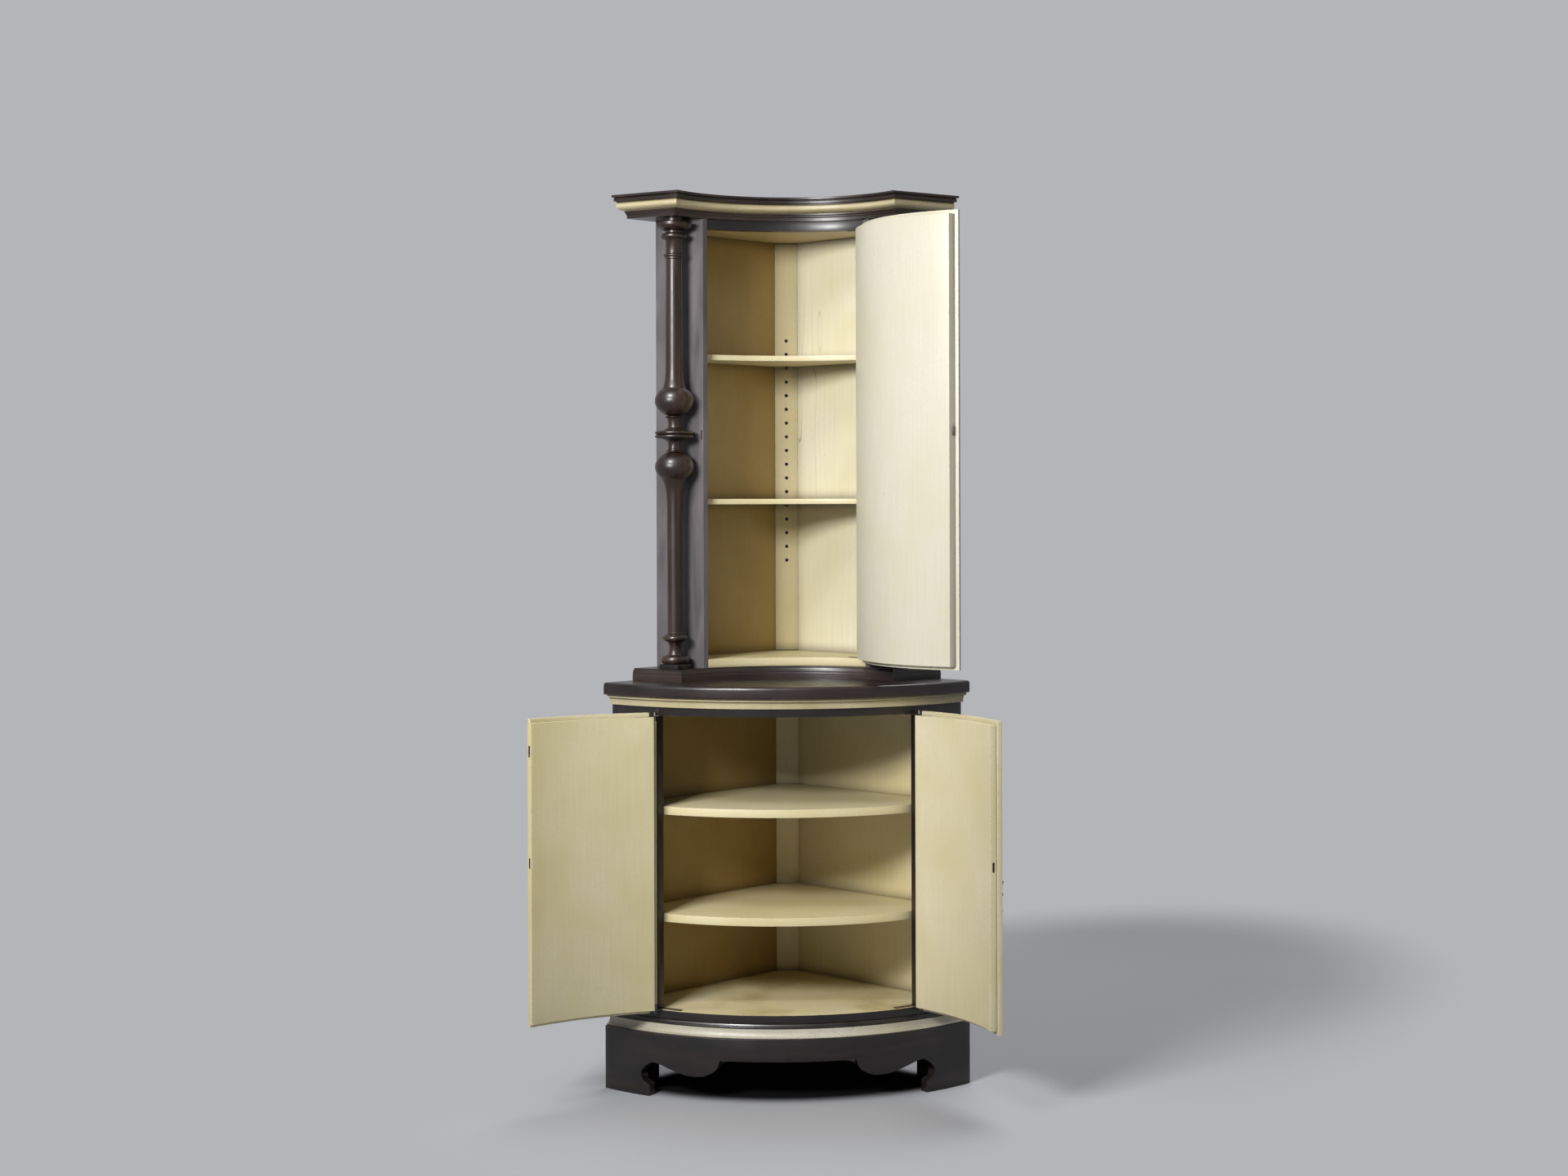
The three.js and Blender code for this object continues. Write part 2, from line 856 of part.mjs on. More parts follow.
function doorHeadHinge(door, head) {
  const high = head - doorEndGap;
  return doorHinge(door, high - plateThickness, high - knuckleLength, high);
}

function plateRecesses(door, foot, head) {
  const depth = plateThickness + fitGap;
  const low = foot + doorEndGap;
  const high = head - doorEndGap;
  return union([
    pivotPrism(door, doorPlateOutline(fitGap), low - overrun, low + depth),
    pivotPrism(door, doorPlateOutline(fitGap), high - depth, high + overrun),
  ]);
}

function doorPanel(door, freeEnd, foot, head) {
  const { panelInner, panelOuter, panelEnd } = door;
  const [low, high] = [foot + doorEndGap, head - doorEndGap];
  const board = doorBoard(door, panelInner, panelOuter, panelEnd, freeEnd, low, high);
  return board.subtract(plateRecesses(door, foot, head));
}

// The leaf is cut away at both hinge corners, where the knuckles stand.
function doorLeaf(door, freeEnd, foot, head) {
  const { leafInner, leafOuter, leafEnd } = door;
  const [low, high] = [foot - footLap, head + headLap];
  const board = doorBoard(door, leafInner, leafOuter, leafEnd, freeEnd, low, high);
  const [near, far] = [-2 * pinInset, notchWidth - pinInset];
  const reach = 2 * leafThickness;
  const outline = [[near, -reach], [far, -reach], [far, reach], [near, reach]];
  const footNotch = pivotPrism(door, outline, low - overrun, low + notchHeight);
  const headNotch = pivotPrism(door, outline, high - notchHeight, high + overrun);
  return board.subtract(footNotch).subtract(headNotch);
}

// Locks. An edge stands at a door's free edge: `along` runs into the door, `out` to its face.

function freeEdge(door, end) {
  const directions = directionsAt(door, door.side * end);
  directions.along = directions.along.map((share) => -share);
  return { door, at: onArc(door.arc, door.middle, door.side * end), directions };
}

const lowerFreeEnd = angleOf(doorEdgeGap / 2, caseRadius);
const upperFreeEnd = -(hollowHalfAngle - angleOf(doorEdgeGap, hollowRadius));
const leftEdge = freeEdge(lowerLeft, lowerFreeEnd);
const rightEdge = freeEdge(lowerRight, lowerFreeEnd);
const upperEdge = freeEdge(upper, upperFreeEnd);

function byEdge(edge, along, out) {
  return stepFrom(edge.at, edge.directions, along, out);
}

function edgeBox(edge, alongs, outs, low, high) {
  const [from, to] = alongs;
  const [back, front] = outs;
  const plan = [[from, back], [to, back], [to, front], [from, front]];
  return prism(plan.map(([along, out]) => byEdge(edge, along, out)), low, high);
}

// How far the leaf's face stands out from the panel's middle, at the keyhole.
function faceOut(edge) {
  const { leafOuter, middle, arc } = edge.door;
  return -arc.way * (Math.sqrt(leafOuter ** 2 - keyInset ** 2) - middle);
}

// A straight lock in a curved panel is set off from its middle by half of what the arc bends
// away over the lock's length.
function lockMiddle(edge) {
  const far = lockCaseInset + lockCaseLength;
  return (edge.door.arc.way * far ** 2) / (4 * edge.door.face);
}

function lockBox(edge, height, grow) {
  const half = lockCaseThickness / 2 + grow;
  const middle = lockMiddle(edge);
  const tall = lockCaseHeight / 2 + grow;
  const alongs = [lockCaseInset - grow, lockCaseInset + lockCaseLength + grow];
  return edgeBox(edge, alongs, [middle - half, middle + half], height - tall, height + tall);
}

function boltBox(edge, height, start, grow) {
  const half = lockBoltThickness / 2 + grow;
  const middle = lockMiddle(edge);
  const tall = lockBoltHeight / 2 + grow;
  const end = doorEdgeGap / 2 + lockBoltLength + grow;
  return edgeBox(edge, [start, end], [middle - half, middle + half], height - tall, height + tall);
}

function lockBolt(edge, height) {
  return boltBox(edge, height, doorEdgeGap / 2, 0);
}

function lockCase(edge, height) {
  return lockBox(edge, height, 0).subtract(boltBox(edge, height, -overrun, boltGap));
}

// Everything that the lock needs cut from its panel.
function lockPocket(edge, height) {
  return union([
    lockBox(edge, height, boltGap),
    boltBox(edge, height, -overrun, boltGap),
    keyhole(edge, height, panelThickness),
  ]);
}

// The slot beyond the free edge that the bolt is thrown into, from `start` before the edge.
function strikeSlot(edge, height, start) {
  const half = lockBoltThickness / 2 + strikeGap;
  const middle = lockMiddle(edge);
  const tall = lockBoltHeight / 2 + strikeGap;
  const alongs = [-lockBoltTravel - 4 * doorEdgeGap, start];
  return edgeBox(edge, alongs, [middle - half, middle + half], height - tall, height + tall);
}

// A keyhole from the lock out through the door's face.
function keyhole(edge, height, reach) {
  const key = height - keyDrop;
  const half = keyholeWidth / 2;
  const ends = [byEdge(edge, keyInset, 0), byEdge(edge, keyInset, reach)];
  const round = levelCylinder(ends[0], ends[1], keyholeRadius, key, roundSides);
  const slot = edgeBox(edge, [keyInset - half, keyInset + half], [0, reach], key - keyholeLength, key);
  return round.add(slot);
}

function lowerRightPanel() {
  const board = doorPanel(lowerRight, lowerFreeEnd, floorTop, openingTop);
  return board.subtract(lockPocket(rightEdge, lockHeight));
}

function lowerRightLeaf() {
  const lap = -angleOf(meetingLap, caseRadius);
  const board = doorLeaf(lowerRight, lap, floorTop, openingTop);
  const key = keyhole(rightEdge, lockHeight, 2 * panelThickness);
  return board.subtract(key).subtract(stapleHoles());
}

function lowerLeftPanel() {
  const board = doorPanel(lowerLeft, lowerFreeEnd, floorTop, openingTop);
  return board.subtract(strikeSlot(rightEdge, lockHeight, 0)).subtract(flushPocket());
}

function lowerLeftLeaf() {
  const lap = angleOf(meetingLap + doorFaceGap, caseRadius);
  return doorLeaf(lowerLeft, lap, floorTop, openingTop);
}

function upperPanel() {
  const board = doorPanel(upper, upperFreeEnd, upperFloorTop, ceilingFoot);
  return board.subtract(lockPocket(upperEdge, upperLockHeight));
}

function upperLeaf() {
  const lap = -(hollowHalfAngle + angleOf(sideLap, hollowRadius));
  const board = doorLeaf(upper, lap, upperFloorTop, ceilingFoot);
  return board.subtract(keyhole(upperEdge, upperLockHeight, 2 * panelThickness));
}

// Flush bolt of the left lower door

function flushBoltPlace() {
  return byEdge(leftEdge, flushRodInset, 0);
}

function flushPocket() {
  const [x, y] = flushBoltPlace();
  const low = flushBoltHeight - flushPocketHeight / 2;
  const high = flushBoltHeight + flushPocketHeight / 2;
  const half = flushPocketWidth / 2;
  const pocket = edgeBox(leftEdge, [-overrun, flushPocketDepth], [-half, half], low, high);
  return pocket.add(cylinder(x, y, flushRodRadius + boltGap, flushBoltHeight, openingTop));
}

function flushBolt() {
  const [x, y] = flushBoltPlace();
  const low = flushBoltHeight - flushPocketHeight / 2 + doorFaceGap;
  const half = flushKnobWidth / 2;
  const rod = cylinder(x, y, flushRodRadius, low, openingTop - doorEndGap - fitGap);
  const alongs = [flushRodInset - flushKnobReach, flushRodInset];
  return rod.add(edgeBox(leftEdge, alongs, [-half, half], low, low + flushKnobHeight));
}

// Escutcheon and pull of the right lower door

function escutcheonOutline(scale) {
  const halfWidth = escutcheonHalfWidth * scale;
  const head = fromShares(escutcheonShares, halfWidth, escutcheonRise * scale);
  const tail = fromShares(escutcheonTailShares, halfWidth, -escutcheonFall * scale);
  const right = head.concat(tail);
  const left = right.slice(1, -1).map(([across, rise]) => [-across, rise]).reverse();
  return right.concat(left);
}

// A flat plate on the door's face, drawn as [across, height] from the keyhole.
function facePlate(outline, height, from, to) {
  const [nx, ny] = rightEdge.directions.out;
  const geometry = extruded(outline, to - from).rotateX(quarterTurn);
  geometry.rotateZ(Math.atan2(ny, nx) + quarterTurn);
  const [x, y] = byEdge(rightEdge, keyInset, from);
  return solidFrom(geometry.translate(x, y, height));
}

function escutcheon() {
  const face = faceOut(rightEdge);
  const key = lockHeight - keyDrop;
  const bedded = face - escutcheonBedding;
  const base = facePlate(escutcheonOutline(1), key, bedded, face + escutcheonThickness);
  const crown = facePlate(escutcheonOutline(crownShare), key, face, face + 2 * escutcheonThickness);
  const leaf = bowDisc(lowerRight.leafOuter + fitGap, 0, topOfAll);
  const hole = keyhole(rightEdge, lockHeight, 4 * panelThickness);
  return base.add(crown).add(curledLeaf()).subtract(hole).subtract(leaf);
}

// The leaf that curls out from the escutcheon above the pull.
function curledLeaf() {
  const outline = fromShares(curlShares, curlReach, curlRise, faceOut(rightEdge), curlFoot);
  const [nx, ny] = rightEdge.directions.out;
  const geometry = extruded(outline, curlWidth).translate(0, 0, -curlWidth / 2).rotateX(quarterTurn);
  const [x, y] = byEdge(rightEdge, keyInset, 0);
  return solidFrom(geometry.rotateZ(Math.atan2(ny, nx)).translate(x, y, pullHeight));
}

// A point before the door's face under the keyhole.
function beforeFace(across, out) {
  return byEdge(rightEdge, keyInset + across, faceOut(rightEdge) + out);
}

function stapleHoles() {
  const half = stapleWire + fitGap;
  const deep = -stapleLeg - fitGap;
  const corners = [[-half, deep], [half, deep], [half, overrun], [-half, overrun]];
  const plan = corners.map(([across, out]) => beforeFace(across, out));
  const holes = [-stapleRadius, stapleRadius].map((rise) => {
    return prism(plan, pullHeight + rise - half, pullHeight + rise + half);
  });
  return union(holes);
}

// A wire bent to a staple: two legs in the door, and a half ring that the drop hangs on.
function staple() {
  const points = [];
  const put = (out, rise) => {
    const [x, y] = beforeFace(0, out);
    points.push(new THREE.Vector3(x, y, pullHeight + rise));
  };
  put(-stapleLeg, stapleRadius);
  put((stapleReach - stapleLeg) / 2, stapleRadius);
  for (let i = 0; i <= 2 * coveSteps; i += 1) {
    const turn = quarterTurn - (i / (2 * coveSteps)) * halfTurn;
    put(stapleReach + stapleRadius * Math.cos(turn), stapleRadius * Math.sin(turn));
  }
  put((stapleReach - stapleLeg) / 2, -stapleRadius);
  put(-stapleLeg, -stapleRadius);
  return wire(points, stapleWire);
}

function wire(points, radius) {
  const extrudePath = new THREE.CatmullRomCurve3(points, false, 'centripetal');
  const turns = Array.from({ length: wireSides }, (_, k) => (2 * halfTurn * k) / wireSides);
  const ring = turns.map((a) => new THREE.Vector2(radius * Math.cos(a), radius * Math.sin(a)));
  const steps = 2 * points.length;
  return solidFrom(new THREE.ExtrudeGeometry(new THREE.Shape(ring), { steps, extrudePath }));
}

// The drop: a loop round the staple's lower side, and a turned body with a flared foot.
function dropPull() {
  const [x, y] = beforeFace(0, stapleReach);
  const loopHeight = pullHeight - stapleRadius + stapleWire + loopSlack + loopWire - loopRadius;
  const top = loopHeight - loopRadius;
  const profile = fromShares(dropShares, dropRadius, -dropLength, 0, top);
  const body = turned([[0, top], ...profile, [0, top - dropLength]], roundSides, x, y);
  return body.add(dropLoop(x, y, loopHeight));
}

// The loop lies square to the staple's wire.
function dropLoop(x, y, height) {
  const section = [];
  for (let k = 0; k <= wireSides; k += 1) {
    const turn = (2 * halfTurn * k) / wireSides;
    section.push(new THREE.Vector2(loopRadius + loopWire * Math.cos(turn), loopWire * Math.sin(turn)));
  }
  const [nx, ny] = rightEdge.directions.out;
  const ring = new THREE.LatheGeometry(section, roundSides).rotateZ(Math.atan2(ny, nx) - quarterTurn);
  return solidFrom(ring.translate(x, y, height));
}

// Upper case

function upperWallPanel(side) {
  const [low, high] = [upperFoot + fitGap, soffitFoot - fitGap];
  const board = wallBoard(side, wallThickness, fitGap, low, high);
  const inside = prism(wingPlan(reachBy(wingReach, -stileThickness - fitGap)), low, high);
  return board.intersect(inside).add(frontPegs(side));
}

// The pegs at the front of the shelves, driven into the wall panel.
function frontPegs(side) {
  const along = wingReach * Math.SQRT2 - frontPegInset;
  const root = byWall(side, along, wallThickness / 2);
  const tip = byWall(side, along, wallThickness + pegLength);
  return union(shelfRowIndexes.map((row) => levelCylinder(root, tip, pegRadius, rowHeight(row), pegSides)));
}

function rowHeight(row) {
  return topPegHeight - row * pegPitch;
}

// The strip has a row of holes, and a peg driven into the two that carry shelves.
function pegStrip() {
  let strip = cornerStrip(upperFloorTop + fitGap, ceilingFoot - fitGap);
  for (let row = 0; row < pegRows; row += 1) {
    const deep = [0, pegHoleDepth - stripFace];
    const peg = levelCylinder(deep, [0, -stripFace - pegLength], pegRadius, rowHeight(row), pegSides);
    const hole = levelCylinder(deep, [0, -stripFace - overrun], pegHoleRadius, rowHeight(row), pegSides);
    strip = shelfRowIndexes.includes(row) ? strip.add(peg) : strip.subtract(hole);
  }
  return strip;
}

function upperStile(side) {
  const [low, high] = [upperFoot + fitGap, soffitFoot - fitGap];
  const outer = prism(wingPlan(wingReach), low, high);
  const inner = prism(wingPlan(reachBy(wingReach, -stileThickness)), low, high);
  const far = hollowRadius + 2 * stileThickness;
  const opening = arcBoard(hollow, fitGap, far, -hollowHalfAngle, hollowHalfAngle, low, high);
  const half = prism([[0, 0], [side * farOut, 0], [side * farOut, -farOut], [0, -farOut]], low, high);
  const wings = outer.subtract(inner).intersect(half).intersect(roomCorner(low, high));
  return wings.subtract(hollowDisc(hollowRadius, low, high)).subtract(opening);
}

function upperLeftStile() {
  return upperStile(-1).subtract(strikeSlot(upperEdge, upperLockHeight, -doorEdgeGap / 2));
}

// A board that fills the case behind a hollow of the given radius.
function upperFill(clear, radius, low, high) {
  const corner = roomCorner(low, high, wallThickness + clear);
  const inside = prism(wingPlan(reachBy(wingReach, -stileThickness - clear)), low, high);
  return corner.intersect(inside).subtract(hollowDisc(radius, low, high));
}

function upperFloor() {
  const [low, high] = [upperFoot + fitGap, upperFloorTop];
  const half = hollowHalfAngle - angleOf(fitGap, hollowRadius);
  const deep = hollowRadius + 2 * stileThickness;
  const lip = arcBoard(hollow, hollowRadius, deep, -half, half, low, high);
  return upperFill(fitGap, hollowRadius, low, high).add(lip);
}

function upperCeiling() {
  const radius = hollowRadius + stileThickness + fitGap;
  return upperFill(fitGap, radius, ceilingFoot, ceilingFoot + ceilingThickness);
}

function headRail() {
  const half = hollowHalfAngle - angleOf(fitGap, hollowRadius);
  const [near, far] = [hollowRadius, hollowRadius + stileThickness];
  return arcBoard(hollow, near, far, -half, half, ceilingFoot, soffitFoot - fitGap);
}

function upperShelf(row) {
  const low = rowHeight(row) + pegRadius + fitGap;
  const high = low + upperShelfThickness;
  const board = upperFill(shelfGap, hollowRadius + upperShelfSetback, low, high);
  return board.subtract(cornerNotch(low, high));
}

// A board whose edge follows both wings and the hollow. The profile is [reach, height] pairs
// from the foot up, and reaches out to the front.
function mouldedBoard(reach, radius, profile) {
  const [low, high] = [profile[0][1], profile[profile.length - 1][1]];
  const hollowEdge = profile.map(([out, z]) => [radius - out, z]);
  const core = turned([[0, low], ...hollowEdge, [0, high]], arcSides, 0, -hollowDistance);
  const wings = wingSolid(-1, reach, profile).intersect(wingSolid(1, reach, profile));
  return roomCorner(low, high).intersect(wings).subtract(core);
}

// All that lies behind one wing's moulded face.
function wingSolid(side, reach, profile) {
  const [low, high] = [profile[0][1], profile[profile.length - 1][1]];
  const outline = [[-farOut, low], ...profile, [-farOut, high]];
  const geometry = extruded(outline, 2 * farOut).translate(0, 0, -farOut).rotateX(quarterTurn);
  return solidFrom(geometry.rotateZ(side * wing - quarterTurn).translate(side * reach, -reach, 0));
}

function baseBoard() {
  const foot = slabTop + fitGap;
  const step = foot + baseBoardPlinth;
  const edge = fromShares(baseBoardShares, -baseBoardStep, upperFoot - step, 0, step);
  return mouldedBoard(baseBoardReach, baseBoardHollow, [[0, foot], ...edge]);
}

function soffitBoard() {
  const step = soffitFoot + fasciaHeight;
  const edge = fromShares(soffitShares, soffitStep, soffitTop - fitGap - step, 0, step);
  return mouldedBoard(soffitReach, soffitHollow, [[0, soffitFoot], ...edge]);
}

function creamCornice() {
  const [low, high] = [soffitTop, crownFoot - fitGap];
  const profile = fromShares(creamSwellShares, creamSwell, high - low, creamFoot, low);
  const [below, above] = [low - overrun, high + overrun];
  const keep = prism(wingPlan(reachBy(soffitReach, creamFoot - creamDepth)), below, above);
  const inside = keep.subtract(hollowDisc(soffitHollow - creamFoot + creamDepth, below, above));
  return mouldedBoard(soffitReach, soffitHollow, profile).subtract(inside);
}

function crownBoard() {
  const profile = fromShares(crownShares, crownReach, crownHeight, 0, crownFoot);
  return mouldedBoard(soffitReach, soffitHollow, profile);
}

// Columns

function columnPlace(side) {
  const across = hollowHalfWidth + stileLipWidth + columnOffset;
  const reach = reachBy(wingReach, columnStand);
  return [side * across, -reach - (reach - across) * Math.tan(wing)];
}

// The square block that the column keeps under its turning.
function columnBlock(side) {
  const low = upperFoot + fitGap;
  const half = pedestalWidth / 2;
  const [x, y] = columnPlace(side);
  const [c, s] = [Math.cos(wing), side * Math.sin(wing)];
  const corners = [[-half, -half], [half, -half], [half, half], [-half, half]];
  const plan = corners.map(([a, b]) => [x + a * c - b * s, y + a * s + b * c]);
  return prism(plan, low, low + pedestalHeight);
}

// A half-round ring from radius `rest` out to `swell`.
function ringPoints([low, high], rest, swell, steps) {
  const points = [];
  for (let i = 0; i <= steps; i += 1) {
    const turn = (i / steps) * halfTurn;
    const rise = ((high - low) * (1 - Math.cos(turn))) / 2;
    points.push([rest + (swell - rest) * Math.sin(turn), low + rise]);
  }
  return points;
}

// A waist from one radius in to another and out again.
function waistPoints([low, high], from, waist, to) {
  const quarter = (high - low) / 4;
  return [
    [from, low],
    [waist + (from - waist) / 5, low + quarter],
    [waist, low + 2 * quarter],
    [waist + (to - waist) / 5, high - quarter],
    [to, high],
  ];
}

// A slightly flat ball between two turns of its outline, in degrees from its middle.
function ballPoints(middle, fromTurn, toTurn, steps) {
  const points = [];
  for (let i = 0; i <= steps; i += 1) {
    const turn = (fromTurn + ((toTurn - fromTurn) * i) / steps) * degrees;
    const rise = columnShares.ballFlat * ballRadius * Math.sin(turn);
    points.push([ballRadius * Math.cos(turn), middle + rise]);
  }
  return points;
}

function columnProfile(foot, head) {
  const shares = columnShares;
  const rise = (share) => foot + (head - foot) * share;
  const between = ([low, high]) => [rise(low), rise(high)];
  const edge = turningFillet;
  return [
    [0, foot],
    [baseRingRadius - 2 * edge, foot],
    ...ringPoints(between(shares.baseRing), baseRingRadius - 2 * edge, baseRingRadius, coveSteps),
    ...waistPoints(between(shares.lowWaist), lowNeckRadius + edge, lowNeckRadius, lowNeckRadius + edge),
    ...ringPoints(between(shares.lowRing), lowNeckRadius + 2 * edge, lowRingRadius, coveSteps),
    [lowShaftRadius, rise(shares.shaftFoot)],
    [lowShaftRadius, rise(shares.shaftNeck)],
    [lowShaftRadius + 2 * edge, rise(shares.shaftSwell)],
    ...ballPoints(rise(shares.lowBall), -50, 78, 6),
    ...waistPoints(between(shares.lowSpool), spoolRadius + edge, spoolRadius, spoolRadius + 3 * edge),
    ...ringPoints(between(shares.lowDisc), discRadius - edge, discRadius, 2),
    ...ringPoints(between(shares.highDisc), discRadius - edge, discRadius, 2),
    ...waistPoints(between(shares.highSpool), spoolRadius + 3 * edge, spoolRadius, spoolRadius + edge),
    ...between(shares.collar).map((z) => [spoolRadius + 2 * edge, z]),
    ...ballPoints(rise(shares.highBall), -78, 52, 6),
    [highShaftRadius + edge, rise(shares.taperFoot)],
    [highShaftRadius + edge / 2, rise(shares.taperMiddle)],
    [highShaftRadius, rise(shares.highShaftFoot)],
    [highNeckRadius, rise(shares.highShaftHead)],
    [highShaftRadius, rise(shares.fillet)],
    ...ringPoints(between(shares.astragal), highShaftRadius, astragalRadius, 2),
    ...between(shares.highNeck).map((z) => [highNeckRadius, z]),
    ...ringPoints(between(shares.highRing), highNeckRadius + edge, highRingRadius, coveSteps),
    ...between(shares.capNeck).map((z) => [highNeckRadius, z]),
    [capRadius - 2 * edge, rise(shares.capFlare)],
    ...ringPoints(between(shares.cap), capRadius - edge, capRadius, 2),
    [capNeckRadius, rise(shares.cap[1])],
    [capNeckRadius, head],
    [0, head],
  ];
}

// The balls and discs are planed flat where they would touch the stile.
function column(side) {
  const foot = upperFoot + fitGap + pedestalHeight;
  const head = soffitFoot - fitGap;
  const [x, y] = columnPlace(side);
  const turning = turned(columnProfile(foot, head), columnSides, x, y);
  const stiles = prism(wingPlan(reachBy(wingReach, fitGap)), foot, head);
  return turning.subtract(stiles).add(columnBlock(side));
}

// Placing

const group = new THREE.Group();

function addNode(name, solid, color) {
  const placed = solid.translate([0, backFootSide * Math.SQRT1_2, 0]);
  const material = new THREE.MeshStandardMaterial({ color, roughness: 0.5 });
  const mesh = new THREE.Mesh(geometryFrom(placed), material);
  mesh.geometry.computeVertexNormals();
  mesh.name = name;
  group.add(mesh);
}

// Adds a piece that is drawn with its door closed, turned open with it.
function addOnDoor(name, solid, color, door, openAngle) {
  const [x, y] = door.pin;
  const atPin = solid.translate([-x, -y, 0]).rotate([0, 0, door.side * openAngle]);
  addNode(name, atPin.translate([x, y, 0]), color);
}

function addHinges(name, door, openAngle, foot, head) {
  addNode(`${name}_case_foot_hinge`, caseFootHinge(door, foot), iron);
  addNode(`${name}_case_head_hinge`, caseHeadHinge(door, head), iron);
  addOnDoor(`${name}_door_foot_hinge`, doorFootHinge(door, foot), iron, door, openAngle);
  addOnDoor(`${name}_door_head_hinge`, doorHeadHinge(door, head), iron, door, openAngle);
}

addNode('plinth_front_board', plinthFront(), wood);
addNode('plinth_left_side_board', plinthSide(-1), wood);
addNode('plinth_right_side_board', plinthSide(1), wood);
addNode('plinth_back_foot', backFoot(), wood);
addNode('plinth_cream_moulding', plinthBand(), cream);
addNode('plinth_bead_moulding', plinthBead(), wood);

addNode('base_bottom_rail', lowerBottomRail(), wood);
addNode('base_floor_board', lowerFloor(), cream);
addNode('base_left_wall_panel', lowerWallPanel(-1), cream);
addNode('base_right_wall_panel', lowerWallPanel(1), cream);
addNode('base_corner_strip', cornerStrip(floorTop + fitGap, slabFoot - fitGap), cream);
addNode('base_left_stile', lowerStile(-1), wood);
addNode('base_right_stile', lowerStile(1), wood);
addNode('base_top_rail', lowerTopRail(), wood);
addNode('base_lower_shelf', lowerShelf(floorTop + lowerShelfRise), cream);
addNode('base_upper_shelf', lowerShelf(floorTop + higherShelfRise), cream);
addNode('base_cream_moulding', creamRail(), cream);
addNode('base_top_slab', topSlab(), wood);

addNode('upper_base_board', baseBoard(), wood);
addNode('upper_floor_board', upperFloor(), cream);
addNode('upper_left_wall_panel', upperWallPanel(-1), cream);
addNode('upper_right_wall_panel', upperWallPanel(1), cream);
addNode('upper_corner_strip', pegStrip(), cream);
addNode('upper_left_stile', upperLeftStile(), wood);
addNode('upper_right_stile', upperStile(1), wood);
addNode('upper_head_rail', headRail(), wood);
addNode('upper_ceiling_board', upperCeiling(), cream);
addNode('upper_top_shelf', upperShelf(shelfRowIndexes[0]), cream);
addNode('upper_middle_shelf', upperShelf(shelfRowIndexes[1]), cream);
addNode('left_column', column(-1), wood);
addNode('right_column', column(1), wood);
addNode('cornice_soffit_board', soffitBoard(), wood);
addNode('cornice_cream_moulding', creamCornice(), cream);
addNode('cornice_crown_board', crownBoard(), wood);

addHinges('lower_left', lowerLeft, lowerLeftOpenAngle, floorTop, openingTop);
addHinges('lower_right', lowerRight, lowerRightOpenAngle, floorTop, openingTop);
addHinges('upper', upper, upperOpenAngle, upperFloorTop, ceilingFoot);

addOnDoor('lower_left_door_panel', lowerLeftPanel(), cream, lowerLeft, lowerLeftOpenAngle);
addOnDoor('lower_left_door_leaf', lowerLeftLeaf(), wood, lowerLeft, lowerLeftOpenAngle);
addOnDoor('lower_left_flush_bolt', flushBolt(), iron, lowerLeft, lowerLeftOpenAngle);

addOnDoor('lower_right_door_panel', lowerRightPanel(), cream, lowerRight, lowerRightOpenAngle);
addOnDoor('lower_right_door_leaf', lowerRightLeaf(), wood, lowerRight, lowerRightOpenAngle);
addOnDoor('lower_lock_case', lockCase(rightEdge, lockHeight), iron, lowerRight, lowerRightOpenAngle);
addOnDoor('lower_lock_bolt', lockBolt(rightEdge, lockHeight), iron, lowerRight, lowerRightOpenAngle);
addOnDoor('lower_escutcheon', escutcheon(), iron, lowerRight, lowerRightOpenAngle);
addOnDoor('pull_staple', staple(), iron, lowerRight, lowerRightOpenAngle);
addOnDoor('pull_drop', dropPull(), iron, lowerRight, lowerRightOpenAngle);

addOnDoor('upper_door_panel', upperPanel(), cream, upper, upperOpenAngle);
addOnDoor('upper_door_leaf', upperLeaf(), wood, upper, upperOpenAngle);
addOnDoor('upper_lock_case', lockCase(upperEdge, upperLockHeight), iron, upper, upperOpenAngle);
addOnDoor('upper_lock_bolt', lockBolt(upperEdge, upperLockHeight), iron, upper, upperOpenAngle);

export default group;
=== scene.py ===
import json
import math
import random
import bmesh
import bpy
from mathutils import Matrix, Vector


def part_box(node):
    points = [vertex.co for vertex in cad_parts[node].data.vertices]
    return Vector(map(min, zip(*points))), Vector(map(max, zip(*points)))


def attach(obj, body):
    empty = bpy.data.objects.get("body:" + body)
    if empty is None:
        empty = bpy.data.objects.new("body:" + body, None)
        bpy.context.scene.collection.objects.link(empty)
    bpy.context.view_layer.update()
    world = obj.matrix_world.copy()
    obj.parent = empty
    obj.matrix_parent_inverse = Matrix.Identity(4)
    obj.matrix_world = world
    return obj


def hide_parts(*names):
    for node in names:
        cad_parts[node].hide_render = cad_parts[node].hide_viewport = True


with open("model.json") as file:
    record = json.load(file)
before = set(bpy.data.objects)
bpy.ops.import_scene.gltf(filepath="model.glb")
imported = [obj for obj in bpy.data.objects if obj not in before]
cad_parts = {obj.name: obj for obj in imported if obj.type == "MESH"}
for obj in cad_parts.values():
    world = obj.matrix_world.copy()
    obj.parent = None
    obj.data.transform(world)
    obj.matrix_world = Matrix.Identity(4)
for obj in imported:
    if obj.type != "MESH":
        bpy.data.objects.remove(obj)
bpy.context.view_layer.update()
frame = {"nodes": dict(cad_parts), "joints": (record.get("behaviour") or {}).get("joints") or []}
print("frame loaded")

